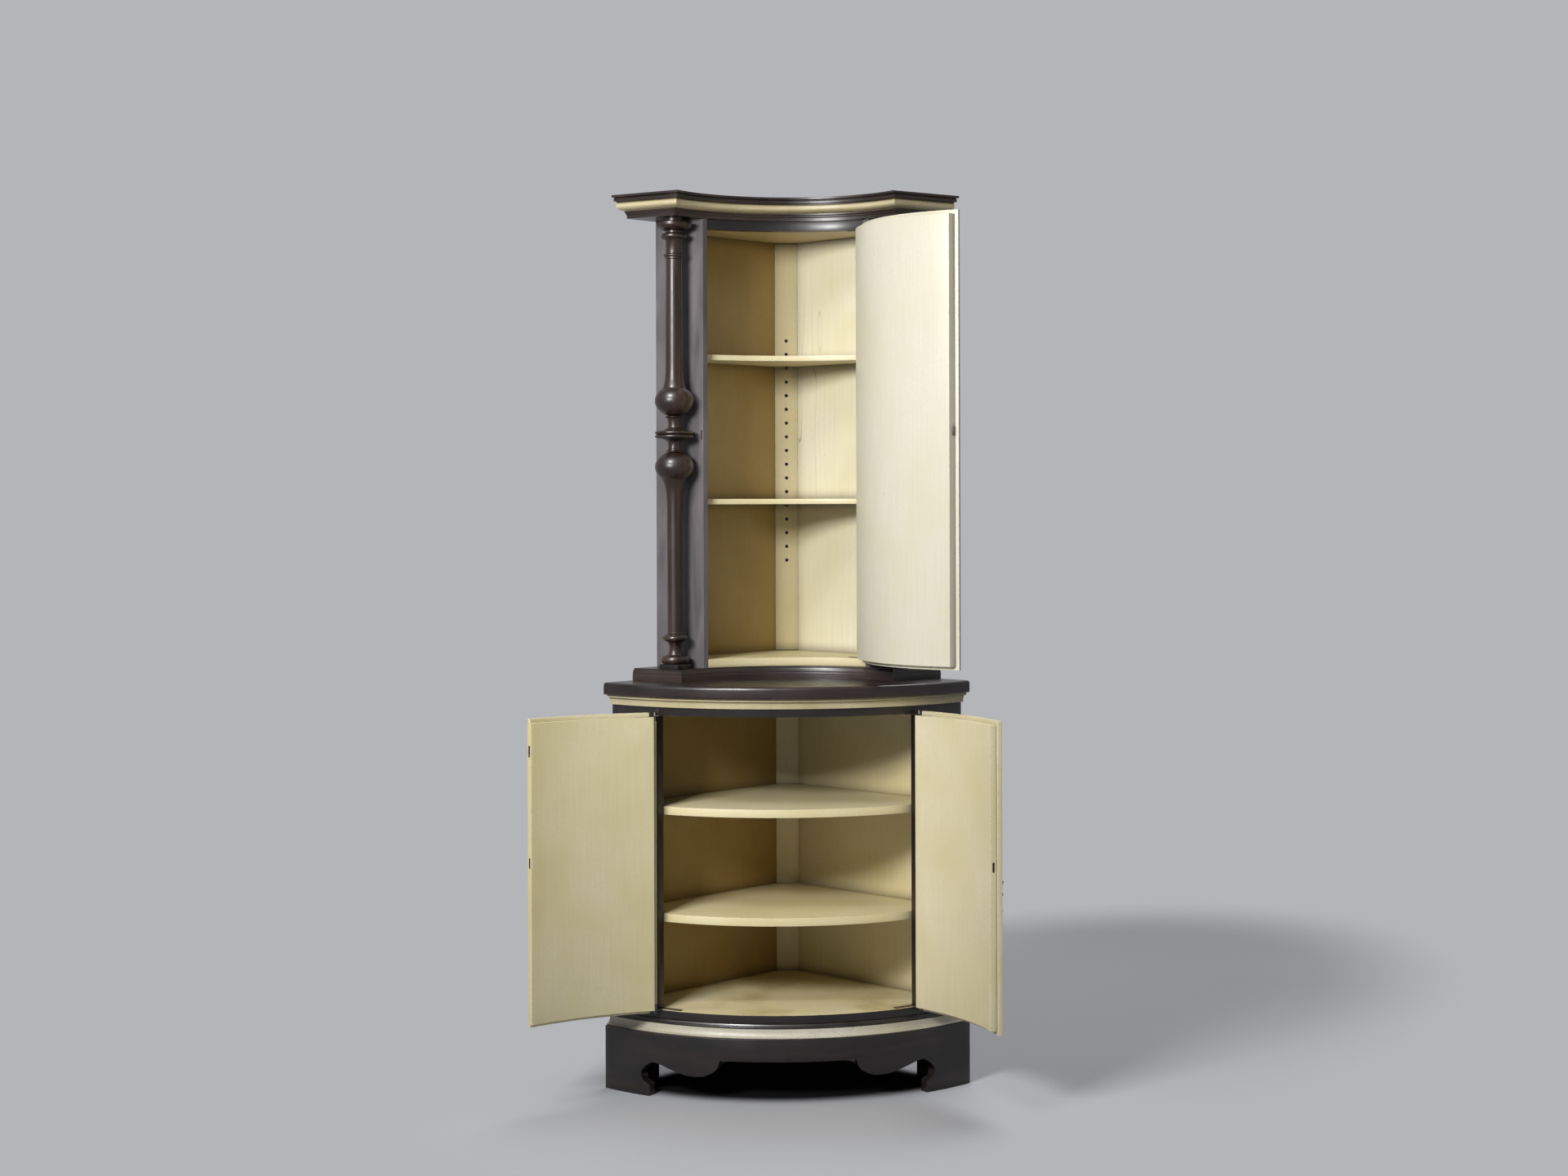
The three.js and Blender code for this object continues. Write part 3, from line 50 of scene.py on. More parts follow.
# Measures are millimetres in the plan's own frame, whose origin is the room corner: x to the right,
# y towards the room corner, z up from the floor. A piece is moved to the frame when it is finished.
mm = 0.001
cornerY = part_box("plinth_back_foot")[1][1] / mm
plan = {
    "caseRadius": 541, "openingAngle": 31, "stileThickness": 20, "wallThickness": 15, "fit": 0.3,
    "hollowDistance": 623, "hollowRadius": 321, "hollowHalfOpening": 174, "stileLip": 9,
    "wingAngle": 33, "stripFace": 48.2, "arcStep": 1.25, "hollowSteps": 30, "wingSteps": 4,
}
caseRadius, hollowRadius, fit = plan["caseRadius"], plan["hollowRadius"], plan["fit"]
wallGap = plan["wallThickness"] + fit
bow = {"centre": 0, "way": -1}
hollow = {"centre": -plan["hollowDistance"], "way": 1}
wing = math.radians(plan["wingAngle"])
hollowAngle = math.degrees(math.asin(plan["hollowHalfOpening"] / hollowRadius))


def levels(node):
    low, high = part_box(node)
    return low[2] / mm, high[2] / mm


def onArc(arc, radius, angle):
    a = math.radians(angle)
    return (radius * math.sin(a), arc["centre"] + arc["way"] * radius * math.cos(a))


def arcPoints(arc, radius, start, end):
    count = max(2, round(abs(end - start) / plan["arcStep"]))
    return [onArc(arc, radius, start + (end - start) * i / count) for i in range(count + 1)]


def stileReach():
    edge = plan["hollowHalfOpening"] + plan["stileLip"]
    depth = plan["hollowDistance"] - math.sqrt(hollowRadius ** 2 - edge ** 2)
    return (depth + edge * math.tan(wing)) / (1 + math.tan(wing))


def reachBy(reach, offset):
    return reach + offset / (math.cos(wing) + math.sin(wing))


# Where a wing's face meets the hollow of a given radius.
def arrisOf(reach, radius):
    t = math.tan(wing)
    c = plan["hollowDistance"] - reach * (1 + t)
    a, b = 1 + t * t, 2 * t * c
    x = (-b + math.sqrt(b * b - 4 * a * (c * c - radius * radius))) / (2 * a)
    return x, t * x - reach * (1 + t)


# The upper front from wall to wall: left wing, hollow, right wing.
def frontPath(reach, radius, gap=0.0):
    t = math.tan(wing)
    x, y = arrisOf(reach, radius)
    end = (reach * (1 + t) - gap * math.sqrt(2)) / (1 + t)
    endY = -(end + gap * math.sqrt(2))
    angle = math.degrees(math.asin(x / radius))
    halfway, count = plan["hollowSteps"], plan["wingSteps"]
    arc = [onArc(hollow, radius, angle * (i / halfway - 1)) for i in range(2 * halfway + 1)]
    side = [(end + (x - end) * i / count, endY + (y - endY) * i / count) for i in range(count)]
    return [(-a, b) for a, b in side] + arc + side[::-1]


# Rounds the corners of a profile that turn by more than a little.
corner = {"leastTurn": 20, "reachShare": 0.45, "steps": 3, "least": 1e-6}


def rounded(points, radius):
    made = []
    for i, point in enumerate(points):
        here = Vector(point)
        if i in (0, len(points) - 1):
            made.append(tuple(here))
            continue
        back, ahead = Vector(points[i - 1]) - here, Vector(points[i + 1]) - here
        if min(back.length, ahead.length) < corner["least"] \
                or back.angle(-ahead) < math.radians(corner["leastTurn"]):
            made.append(tuple(here))
            continue
        share = corner["reachShare"]
        reach = min(radius, back.length * share, ahead.length * share)
        start, end = here + back.normalized() * reach, here + ahead.normalized() * reach
        for k in range(corner["steps"] + 1):
            t = k / corner["steps"]
            made.append(tuple(start * (1 - t) ** 2 + here * 2 * t * (1 - t) + end * t * t))
    return made


def quarter(start, end, swelling, steps=8):
    points = []
    for i in range(steps + 1):
        turn = i / steps * math.pi / 2
        fast, slow = math.sin(turn), 1 - math.cos(turn)
        across, up = (fast, slow) if swelling else (slow, fast)
        points.append((start[0] + (end[0] - start[0]) * across,
                       start[1] + (end[1] - start[1]) * up))
    return points


# An sRGB hex colour as linear red, green, blue and alpha.
def linear(hexColour):
    value = int(hexColour, 16)
    parts = [(value >> shift & 255) / 255 for shift in (16, 8, 0)]
    return [p / 12.92 if p <= 0.04045 else ((p + 0.055) / 1.055) ** 2.4 for p in parts] + [1]


# Makes a node and gives one of its outputs, or all of them where `out` is None.
def addNode(tree, kind, inputs=None, out=0, stops=(), **settings):
    node = tree.nodes.new(kind if "Node" in kind else "ShaderNode" + kind)
    for key, value in settings.items():
        setattr(node, key, value)
    for key, value in (inputs or {}).items():
        socket = node.inputs[key]
        if isinstance(value, bpy.types.NodeSocket):
            tree.links.new(value, socket)
        else:
            socket.default_value = value
    for i, (place, colour) in enumerate(stops):
        ramp = node.color_ramp
        stop = ramp.elements[i] if i < 2 else ramp.elements.new(place)
        stop.position, stop.color = place, colour
    return node.outputs if out is None or not node.outputs else node.outputs[out]


def newMaterial(name):
    material = bpy.data.materials.new(name)
    material.use_nodes = True
    material.node_tree.nodes.clear()
    return material, material.node_tree


def shaded(material, inputs):
    shader = addNode(material.node_tree, "BsdfPrincipled", inputs)
    addNode(material.node_tree, "OutputMaterial", {"Surface": shader})
    return material


# The grain map, stretched to cells of so many millimetres across and along the board.
def stretched(tree, uv, across, along):
    return addNode(tree, "Mapping",
                   {"Vector": uv, "Scale": (1 / (across * mm), 1 / (along * mm), 1)})


def noise(tree, place, cell, detail, **more):
    return addNode(tree, "TexNoise", {"Vector": place, "Scale": 1 / cell, "Detail": detail} | more)


def reckoned(tree, operation, *values):
    return addNode(tree, "Math", dict(enumerate(values)), operation=operation)


def spread(tree, value, low, high, toLow=0.0, toHigh=1.0, **settings):
    return addNode(tree, "MapRange", {"Value": value, "From Min": low, "From Max": high,
                                      "To Min": toLow, "To Max": toHigh}, **settings)


def mixed(tree, share, first, second, blend="MIX"):
    return addNode(tree, "MixRGB", {"Fac": share, "Color1": first, "Color2": second},
                   blend_type=blend)


def toned(tree, value, stops):
    return addNode(tree, "ValToRGB", {"Fac": value}, stops=stops)


def raised(tree, height, strength, depth, under=None, **settings):
    inputs = {"Height": height, "Strength": strength, "Distance": depth * mm}
    return addNode(tree, "Bump", inputs | ({"Normal": under} if under else {}), **settings)


# Wear along the edges: where the rounded normal leaves the true one, broken up by patches.
def edgeWear(tree, width, span, patches, depth):
    bevel = addNode(tree, "Bevel", {"Radius": width * mm}, samples=4)
    normal = addNode(tree, "NewGeometry", out="Normal")
    same = addNode(tree, "VectorMath", {0: bevel, 1: normal}, "Value", operation="DOT_PRODUCT")
    edge = spread(tree, same, *span)
    return reckoned(tree, "MULTIPLY", reckoned(tree, "MULTIPLY", edge, patches), depth)


# Satin hardwood, stained near black and rubbed with wax, with a redder brown where hands and
# turning wore the stain, and paler rubbed edges; the upper stiles' violet-grey sheen is painted
# into their colour.
def darkWood(name, settings):
    material, tree = newMaterial(name)
    uv = addNode(tree, "UVMap", uv_map="grain")
    place = addNode(tree, "TexCoord", out="Object")
    fine = stretched(tree, uv, settings["poreAcross"], settings["poreAlong"])
    wide = stretched(tree, uv, settings["figureAcross"], settings["figureAlong"])
    pores = noise(tree, fine, 1, 3)
    figure = noise(tree, wide, 1, 5, Distortion=0.6)
    stipple = noise(tree, place, 2.2 * mm, 2)
    patches = noise(tree, place, 50 * mm, 6)
    tone = toned(tree, figure, [(0.3, linear(settings["dark"])), (0.72, linear(settings["light"])),
                                (0.5, linear(settings["stain"]))])
    grain = toned(tree, pores, [(0.34, [0.55, 0.52, 0.5, 1]), (0.56, [1, 1, 1, 1])])
    body = mixed(tree, settings["grain"], tone, grain, "MULTIPLY")
    worn = edgeWear(tree, settings["wearWidth"], (0.995, 0.86), spread(tree, patches, 0.42, 0.62),
                    settings["wear"])
    lift = raised(tree, stipple, settings["stipple"], 0.2)
    return shaded(material, {
        "Base Color": mixed(tree, worn, body, linear(settings["worn"])),
        "Roughness": spread(tree, patches, 0.35, 0.68, *settings["rough"]),
        "Normal": raised(tree, pores, settings["relief"], 0.2, lift),
        "IOR": 1.45, "Coat Weight": settings["wax"], "Coat Roughness": settings["waxRough"]})


# Oil paint brushed on wood, yellowed with age: satin, with faint vertical brush marks, yellow
# clouds, grimy crackle and splits along the boards, painted shade where boards meet, and brown
# chips on the edges.
def agedPaint(name, settings):
    material, tree = newMaterial(name)
    grimeAndShade = linear(settings["grimeAndShade"])
    uv = addNode(tree, "UVMap", uv_map="grain")
    place = addNode(tree, "TexCoord", out="Object")
    brush = noise(tree, stretched(tree, uv, 4, 180), 1, 4)
    clouds = noise(tree, place, 160 * mm, 5, Roughness=0.55)
    specks = noise(tree, place, 6 * mm, 4)
    tone = toned(tree, clouds, [(0.36, linear(settings["aged"])), (0.66, linear(settings["pale"])),
                                (0.5, linear(settings["paint"]))])
    marks = toned(tree, brush, [(0.3, [0.93, 0.92, 0.89, 1]), (0.62, [1, 1, 1, 1])])
    brushed = mixed(tree, settings["brush"], tone, marks, "MULTIPLY")
    cells = addNode(tree, "TexVoronoi", {"Vector": place, "Scale": 1 / (settings["crackle"] * mm)},
                    "Distance", feature="DISTANCE_TO_EDGE")
    some = spread(tree, clouds, 0.42, 0.6)
    cracked = reckoned(tree, "MULTIPLY", spread(tree, cells, 0.0, 0.045, 1.0, 0.0), some)
    crackled = reckoned(tree, "MULTIPLY", cracked, settings["crackleDepth"])
    bands = noise(tree, stretched(tree, uv, 90, 1100), 1, 3, Distortion=0.3)
    near = reckoned(tree, "ABSOLUTE", reckoned(tree, "SUBTRACT", bands, 0.53))
    split = spread(tree, near, 0.0022, 0.0006, toHigh=settings["splits"])
    lines = reckoned(tree, "MAXIMUM", crackled, reckoned(tree, "MULTIPLY", split, some))
    # Towards the far left in x, from yellowFrom to yellowTo, the paint turns darker and yellower.
    side = addNode(tree, "SeparateXYZ", {0: place}, "X")
    yellow = spread(tree, side, settings["yellowFrom"] * mm, settings["yellowTo"] * mm,
                    toHigh=settings["yellow"])
    farLeftTinted = mixed(tree, yellow, brushed, linear(settings["farLeftTint"]))
    lined = mixed(tree, lines, farLeftTinted, grimeAndShade)
    # Painted shade: an occlusion mask darkens the paint in corners and where boards meet.
    cornerShadeMask = addNode(tree, "AmbientOcclusion", {"Distance": settings["cornerShadeReach"] * mm}, "AO",
                   samples=6, only_local=False)
    cornerShaded = mixed(tree, spread(tree, cornerShadeMask, 0.92, 0.3, toHigh=settings["cornerShade"]), lined, grimeAndShade)
    chipped = edgeWear(tree, settings["chipWidth"], (0.99, 0.85), spread(tree, specks, 0.55, 0.6),
                       settings["chips"])
    strokes = raised(tree, brush, 0.25, 0.2)
    return shaded(material, {
        "Base Color": mixed(tree, chipped, cornerShaded, linear(settings["bare"])),
        "Roughness": spread(tree, specks, 0.3, 0.7, *settings["rough"]),
        "Normal": raised(tree, crackled, 0.5, 0.3, strokes, invert=True), "IOR": 1.48})


# Forged iron or filed steel: dark scale or a dull grey face with brown rust in its clouds.
def oldMetal(name, settings):
    material, tree = newMaterial(name)
    place = addNode(tree, "TexCoord", out="Object")
    clouds = noise(tree, place, 6 * mm, 5)
    pits = noise(tree, place, 0.8 * mm, 2)
    return shaded(material, {
        "Base Color": toned(tree, clouds, [(0.38, linear(settings["metal"])),
                                           (0.66, linear(settings["rust"]))]),
        "Roughness": spread(tree, clouds, 0.35, 0.7, *settings["rough"]),
        "Metallic": 1.0, "Normal": raised(tree, pits, 0.35, 0.2)})


woodFinish = {
    "dark": "110e0d", "stain": "1a1514", "light": "271f1c", "worn": "75604f", "figureAcross": 30,
    "figureAlong": 220, "poreAcross": 0.9, "poreAlong": 28, "grain": 0.45, "wearWidth": 1.6,
    "wear": 0.5, "rough": (0.31, 0.42), "stipple": 0.1, "relief": 0.12, "wax": 0.15,
    "waxRough": 0.2,
}
turnedFinish = woodFinish | {
    "dark": "170e09", "stain": "271810", "light": "3f2818", "worn": "70523f", "stipple": 0.12,
    "rough": (0.34, 0.44), "wearWidth": 1.2, "wear": 0.35, "wax": 0.12,
}
# The stiles and wings of the upper case are coloured a lighter violet-grey: a painted sheen for the
# gloss of their wax.
stileSheenFinish = woodFinish | {
    "dark": "4d494a", "stain": "5e595b", "light": "6e686a", "rough": (0.4, 0.5), "stipple": 0.5,
    "grain": 0.25,
}
corniceFinish = woodFinish | {"dark": "170f0c", "stain": "251a16", "light": "362721"}
slabFinish = woodFinish | {
    "dark": "140e0c", "stain": "201612", "light": "2e201b", "worn": "8f7a6b", "wear": 0.7,
    "rough": (0.3, 0.44), "wearWidth": 2.5,
}
plankFinish = woodFinish | {
    "dark": "5a4430", "stain": "6b5038", "light": "7b6046", "worn": "9a7f60", "rough": (0.6, 0.8),
    "stipple": 0.3, "relief": 0.7, "wax": 0.0, "poreAcross": 1.6, "poreAlong": 60, "grain": 0.6,
    "figureAcross": 11, "figureAlong": 900,
}
paintFinish = {
    "paint": "dacda2", "aged": "d6c99b", "pale": "ddd2ab", "grimeAndShade": "54421f", "bare": "5a3f27",
    "brush": 0.6, "crackle": 11, "crackleDepth": 0.1, "cornerShadeReach": 26, "cornerShade": 0.75,
    "chipWidth": 1.6, "chips": 0.9, "rough": (0.36, 0.5), "splits": 0.0, "farLeftTint": "b7a25c",
    "yellow": 0.0, "yellowFrom": 0, "yellowTo": 1,
}
floorFinish = paintFinish | {"aged": "c0b283", "pale": "dad1af", "brush": 0.9}
# The ceiling, facing down away from the lamps, gets a darker copy of the paint: painted shade.
ceilingShadeFinish = paintFinish | {"paint": "b9a575", "aged": "b5a16e", "pale": "bea97c"}
# The left walls' darker copy of the paint is painted shade.
leftWallShadeFinish = paintFinish | {"paint": "a68b52", "aged": "a2864b", "pale": "ab925c"}
# The upper right wall, facing the key lamp, gets a paler copy of the paint: painted light; its
# hairline splits are real.
rightWallLitFinish = paintFinish | {
    "paint": "e2dcbf", "aged": "dfd8b6", "pale": "e5e0c6", "splits": 0.55,
}
lowerDoorFinish = paintFinish | {
    "paint": "cfc5a2", "aged": "cbc19a", "pale": "d3caab", "cornerShade": 0.35, "cornerShadeReach": 12,
}
# The left door, turned from the key lamp, gets a darker copy of the door paint: painted shade.
leftDoorShadeFinish = lowerDoorFinish | {
    "paint": "c8bf98", "aged": "c4ba90", "pale": "ccc3a1",
    "yellow": 0.35, "yellowFrom": -505, "yellowTo": -560,
}
upperDoorFinish = paintFinish | {
    "paint": "d1ccb8", "aged": "cfc9b2", "pale": "d4cfbd", "cornerShade": 0.4, "cornerShadeReach": 12,
}
mouldingFinish = paintFinish | {
    "paint": "c0b48f", "aged": "afa27a", "pale": "ccc29f", "crackle": 6, "crackleDepth": 0.5,
    "cornerShade": 0.9, "cornerShadeReach": 9,
}
bandFinish = mouldingFinish | {"paint": "bab5a3", "aged": "aaa48e", "pale": "c8c4b5"}
ironFinish = {"metal": "3a3836", "rust": "4b3a30", "rough": (0.42, 0.62)}
steelFinish = {"metal": "8f8a84", "rust": "5f4a3c", "rough": (0.34, 0.55)}

wood = darkWood("ebonisedHardwood", woodFinish)
turnedWood = darkWood("turnedHardwood", turnedFinish)
stileSheenWood = darkWood("stileWoodPaintedSheen", stileSheenFinish)
corniceWood = darkWood("corniceWood", corniceFinish)
slabWood = darkWood("rubbedSlabWood", slabFinish)
plank = darkWood("bareOldPlank", plankFinish)
paint = agedPaint("creamOilPaint", paintFinish)
leftWallShadePaint = agedPaint("shadedWallPaint", leftWallShadeFinish)
rightWallLitPaint = agedPaint("litPaleWallPaint", rightWallLitFinish)
lowerDoorPaint = agedPaint("lowerDoorPaint", lowerDoorFinish)
leftDoorShadePaint = agedPaint("leftDoorShadePaint", leftDoorShadeFinish)
floorPaint = agedPaint("scuffedFloorPaint", floorFinish)
ceilingShadePaint = agedPaint("shadedCeilingPaint", ceilingShadeFinish)
upperDoorPaint = agedPaint("upperDoorPaint", upperDoorFinish)
mouldingPaint = agedPaint("crackledMouldingPaint", mouldingFinish)
bandPaint = agedPaint("greyedBandPaint", bandFinish)
iron = oldMetal("blackenedIron", ironFinish)
steel = oldMetal("wornSteel", steelFinish)
print("materials made")


# Lays the grain map flat on a board: v runs along the grain.
def mapGrain(bm, grainAxis):
    layer = bm.loops.layers.uv.get("grain") or bm.loops.layers.uv.new("grain")
    across = [axis for axis in range(3) if axis != grainAxis]
    for face in bm.faces:
        n = [abs(v) for v in face.normal]
        flat = across[0] if n[across[1]] > n[across[0]] else across[1]
        for loop in face.loops:
            co = loop.vert.co
            loop[layer].uv = (co[flat], co[grainAxis])


easing = {"sharpAngle": 25, "steps": 2, "roundness": 0.6}
tolerance = {"weld": 0.004, "sliver": 0.002, "cutWeld": 0.003, "copyWeld": 0.01, "slice": 0.001,
             "flatAngle": 1}
grainShift = 5


def roundEdges(bm, width):
    bm.normal_update()
    sharp = [e for e in bm.edges if len(e.link_faces) == 2
             and e.calc_face_angle(0) > math.radians(easing["sharpAngle"])]
    bmesh.ops.bevel(bm, geom=sharp, offset=width, offset_type="OFFSET",
                    segments=easing["steps"], profile=easing["roundness"], affect="EDGES",
                    clamp_overlap=True)


# Moves a piece to the frame and hands it over. `innerFaces` picks the faces of the second material.
def finishPiece(bm, name, material, body, nodes, sharp=32, innerFaces=None):
    bmesh.ops.remove_doubles(bm, verts=bm.verts, dist=tolerance["weld"])
    bmesh.ops.dissolve_degenerate(bm, edges=bm.edges, dist=tolerance["sliver"])
    bmesh.ops.recalc_face_normals(bm, faces=bm.faces)
    layer = bm.loops.layers.uv.active
    shift = random.Random(name).uniform(0, grainShift)
    for face in bm.faces:
        face.smooth = True
        for loop in face.loops:
            loop[layer].uv = loop[layer].uv * mm + Vector((shift, shift))
    if innerFaces:
        for face in bm.faces:
            face.material_index = 1 if innerFaces(face) else 0
    bm.transform(Matrix.Scale(mm, 4) @ Matrix.Translation((0, cornerY, 0)))
    mesh = bpy.data.meshes.new(name)
    bm.to_mesh(mesh)
    bm.free()
    mesh.set_sharp_from_angle(angle=math.radians(sharp))
    for each in material if isinstance(material, (list, tuple)) else [material]:
        mesh.materials.append(each)
    piece = bpy.data.objects.new(name, mesh)
    bpy.context.collection.objects.link(piece)
    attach(piece, body)
    if nodes:
        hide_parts(*nodes)


# A row of like sections joined to one closed skin.
def loft(sections):
    bm = bmesh.new()
    layer = bm.loops.layers.uv.new("grain")
    rows = [[bm.verts.new(p) for p in section] for section in sections]
    count = len(sections[0])
    girth = [0.0]
    middle = sections[len(sections) // 2]
    for i in range(count):
        girth.append(girth[-1] + (Vector(middle[(i + 1) % count]) - Vector(middle[i])).length)
    run = 0.0
    widest = max(range(count), key=lambda i: Vector(sections[0][i]).length)
    for a, b, first, second in zip(rows, rows[1:], sections, sections[1:]):
        step = (Vector(second[widest]) - Vector(first[widest])).length
        for i in range(count):
            k = (i + 1) % count
            face = bm.faces.new((a[i], a[k], b[k], b[i]))
            ends = ((girth[i], run), (girth[i + 1], run), (girth[i + 1], run + step),
                    (girth[i], run + step))
            for loop, uv in zip(face.loops, ends):
                loop[layer].uv = uv
        run += step
    for row in (rows[0], rows[-1]):
        face = bm.faces.new(row)
        for loop in face.loops:
            loop[layer].uv = (loop.vert.co.x + loop.vert.co.y, loop.vert.co.z)
    return bm


# A flat-sided solid between two like outlines.
def prism(near, far):
    bm = bmesh.new()
    first = [bm.verts.new(p) for p in near]
    last = [bm.verts.new(p) for p in far]
    bm.faces.new(first)
    bm.faces.new(last)
    for i in range(len(near)):
        k = (i + 1) % len(near)
        bm.faces.new((first[i], first[k], last[k], last[i]))
    bmesh.ops.recalc_face_normals(bm, faces=bm.faces)
    return bm


# An upright board from its plan.
def uprightBoard(outline, low, high, edge=0.8, grainAxis=2):
    bm = prism([(x, y, low) for x, y in outline], [(x, y, high) for x, y in outline])
    roundEdges(bm, edge)
    bm.normal_update()
    mapGrain(bm, grainAxis)
    return bm


def meshOf(bm, name="cutter"):
    mesh = bpy.data.meshes.new(name)
    bm.to_mesh(mesh)
    bm.free()
    return mesh


# Cuts one solid from another, both still in millimetres.
def cut(bm, cutters):
    body = bpy.data.objects.new("cutBody", meshOf(bm))
    bpy.context.collection.objects.link(body)
    tools = []
    for cutter in cutters:
        tool = bpy.data.objects.new("cutTool", meshOf(cutter))
        bpy.context.collection.objects.link(tool)
        modifier = body.modifiers.new("cut", "BOOLEAN")
        modifier.operation, modifier.object, modifier.solver = "DIFFERENCE", tool, "EXACT"
        tools.append(tool)
    graph = bpy.context.evaluated_depsgraph_get()
    mesh = bpy.data.meshes.new_from_object(body.evaluated_get(graph))
    made = bmesh.new()
    made.from_mesh(mesh)
    for thing in [body] + tools:
        bpy.data.objects.remove(thing)
    return made


def boxSolid(lows, highs):
    bm = bmesh.new()
    bmesh.ops.create_cube(bm, size=1)
    for vert in bm.verts:
        for axis in range(3):
            vert.co[axis] = highs[axis] if vert.co[axis] > 0 else lows[axis]
    return bm


# A board drawn flat as (along, height), bent round an arc. `out` is its depth before the face.
# Faces that `second` picks while the board is flat take the second material.
def bentBoard(outline, outs, arc, face, edge, cutters=(), grainAxis=2, second=None):
    bm = prism([(x, outs[0], z) for x, z in outline], [(x, outs[1], z) for x, z in outline])
    if cutters:
        bm = cut(bm, cutters)
        bmesh.ops.remove_doubles(bm, verts=bm.verts, dist=tolerance["cutWeld"])
    roundEdges(bm, edge)
    bm.normal_update()
    mapGrain(bm, grainAxis)
    for f in bm.faces:
        f.material_index = 1 if second and second(f) else 0
    bmesh.ops.triangulate(bm, faces=bm.faces)
    step = math.radians(plan["arcStep"]) * face
    lowest = min(v.co.x for v in bm.verts)
    highest = max(v.co.x for v in bm.verts)
    k = math.floor(lowest / step) + 1
    while k * step < highest:
        bmesh.ops.bisect_plane(bm, geom=bm.verts[:] + bm.edges[:] + bm.faces[:],
                               dist=tolerance["slice"], plane_co=(k * step, 0, 0),
                               plane_no=(1, 0, 0))
        k += 1
    for vert in bm.verts:
        radius = face - arc["way"] * vert.co.y
        x, y = onArc(arc, radius, math.degrees(vert.co.x / face))
        vert.co.x, vert.co.y = x, y
    return bm


# A turning about an upright line, from [radius, height] pairs that start and end on it.
def turning(profile, sides, centre):
    bm = bmesh.new()
    layer = bm.loops.layers.uv.new("grain")
    rings = []
    for radius, z in profile:
        if radius < 1e-6:
            rings.append([bm.verts.new((centre[0], centre[1], z))])
            continue
        turns = [2 * math.pi * k / sides for k in range(sides)]
        rings.append([bm.verts.new((centre[0] + radius * math.cos(t),
                                    centre[1] + radius * math.sin(t), z)) for t in turns])
    widest = max(radius for radius, z in profile)
    for (low, high), (start, end) in zip(zip(rings, rings[1:]), zip(profile, profile[1:])):
        for k in range(sides):
            n = (k + 1) % sides
            if len(low) == 1 and len(high) == 1:
                continue
            if len(low) == 1:
                corners = ((low[0], k, start), (high[k], k, end), (high[n], k + 1, end))
            elif len(high) == 1:
                corners = ((low[k], k, start), (low[n], k + 1, start), (high[0], k, end))
            else:
                corners = ((low[k], k, start), (low[n], k + 1, start), (high[n], k + 1, end),
                           (high[k], k, end))
            face = bm.faces.new([vert for vert, turn, place in corners])
            for loop, (vert, turn, place) in zip(face.loops, corners):
                loop[layer].uv = (2 * math.pi * widest * turn / sides, place[1] + place[0])
    return bm


# A copy of a CAD node with its flats made whole and its edges rounded.
def easedCopy(node, name, material, body, edge, grainAxis=2, innerFaces=None):
    bm = bmesh.new()
    bm.from_mesh(frame["nodes"][node].data)
    bm.transform(Matrix.Translation((0, -cornerY, 0)) @ Matrix.Scale(1 / mm, 4))
    bmesh.ops.remove_doubles(bm, verts=bm.verts, dist=tolerance["copyWeld"])
    bmesh.ops.dissolve_limit(bm, angle_limit=math.radians(tolerance["flatAngle"]), verts=bm.verts,
                             edges=bm.edges)
    roundEdges(bm, edge)
    bm.normal_update()
    mapGrain(bm, grainAxis)
    finishPiece(bm, name, material, body, [node], innerFaces=innerFaces)


# The lower case

# A moulding round the bow. Its profile is drawn as (stand before the case, height).
def bowMoulding(node, name, material, profile, backRadius=caseRadius + fit):
    rows = rounded(profile, 0.6)
    low, high = rows[0][1], rows[-1][1]
    arcs = [[point + (z,) for point in arcPoints(bow, caseRadius + reach, -45, 45)]
            for reach, z in rows]
    inner = arcPoints(bow, backRadius, -45, 45)
    bm = loft([list(ring) + [back + (high,), back + (low,)]
               for ring, back in zip(zip(*arcs), inner)])
    finishPiece(bm, name, material, "case", [node])


slab = {"overhang": 25, "bevel": 2, "round": 7, "topInset": 40}
low, high = levels("base_top_slab")
reach = slab["overhang"]
shoulder = quarter((reach, high - slab["round"]), (reach - slab["round"], high), False)
profile = [(0, low), (reach - slab["bevel"], low), (reach, low + slab["bevel"])] + shoulder
profile.append((-slab["topInset"], high))
bowMoulding("base_top_slab", "topSlab", slabWood, profile, 0)

creamRail = {"foot": 6, "head": 10, "groove": 9.5, "grooveHeight": 1.5, "bead": 15.5,
             "beadHeight": 6}
low, high = levels("base_cream_moulding")
beadFoot = high - creamRail["beadHeight"]
grooveFoot = beadFoot - creamRail["grooveHeight"]
profile = [(fit, low)] + quarter((creamRail["foot"], low), (creamRail["head"], grooveFoot), False)
profile += [(creamRail["groove"], grooveFoot), (creamRail["groove"], beadFoot)]
profile += [(creamRail["bead"], beadFoot), (creamRail["bead"], high), (fit, high)]
bowMoulding("base_cream_moulding", "creamRailMoulding", mouldingPaint, profile)

band = {"foot": 19, "fillet": 2, "head": 9}
low, high = levels("plinth_cream_moulding")
profile = [(fit, low), (band["foot"], low)]
profile += quarter((band["foot"], low + band["fillet"]), (band["head"], high), True) + [(fit, high)]
bowMoulding("plinth_cream_moulding", "plinthCreamBand", bandPaint, profile)

bead = {"reach": 7.5, "waist": 5, "head": 3, "noseShare": 0.3, "fillet": 0.9, "waistHeight": 3}
low, high = levels("plinth_bead_moulding")
nose = low + (high - low) * bead["noseShare"]
profile = [(fit, low), (bead["reach"], low), (bead["reach"], nose)]
profile += [(bead["waist"], nose + bead["fillet"]), (bead["waist"], nose + bead["waistHeight"])]
profile += [(bead["head"], high), (fit, high)]
bowMoulding("plinth_bead_moulding", "plinthBeadMoulding", wood, profile)
print("slab and mouldings made")


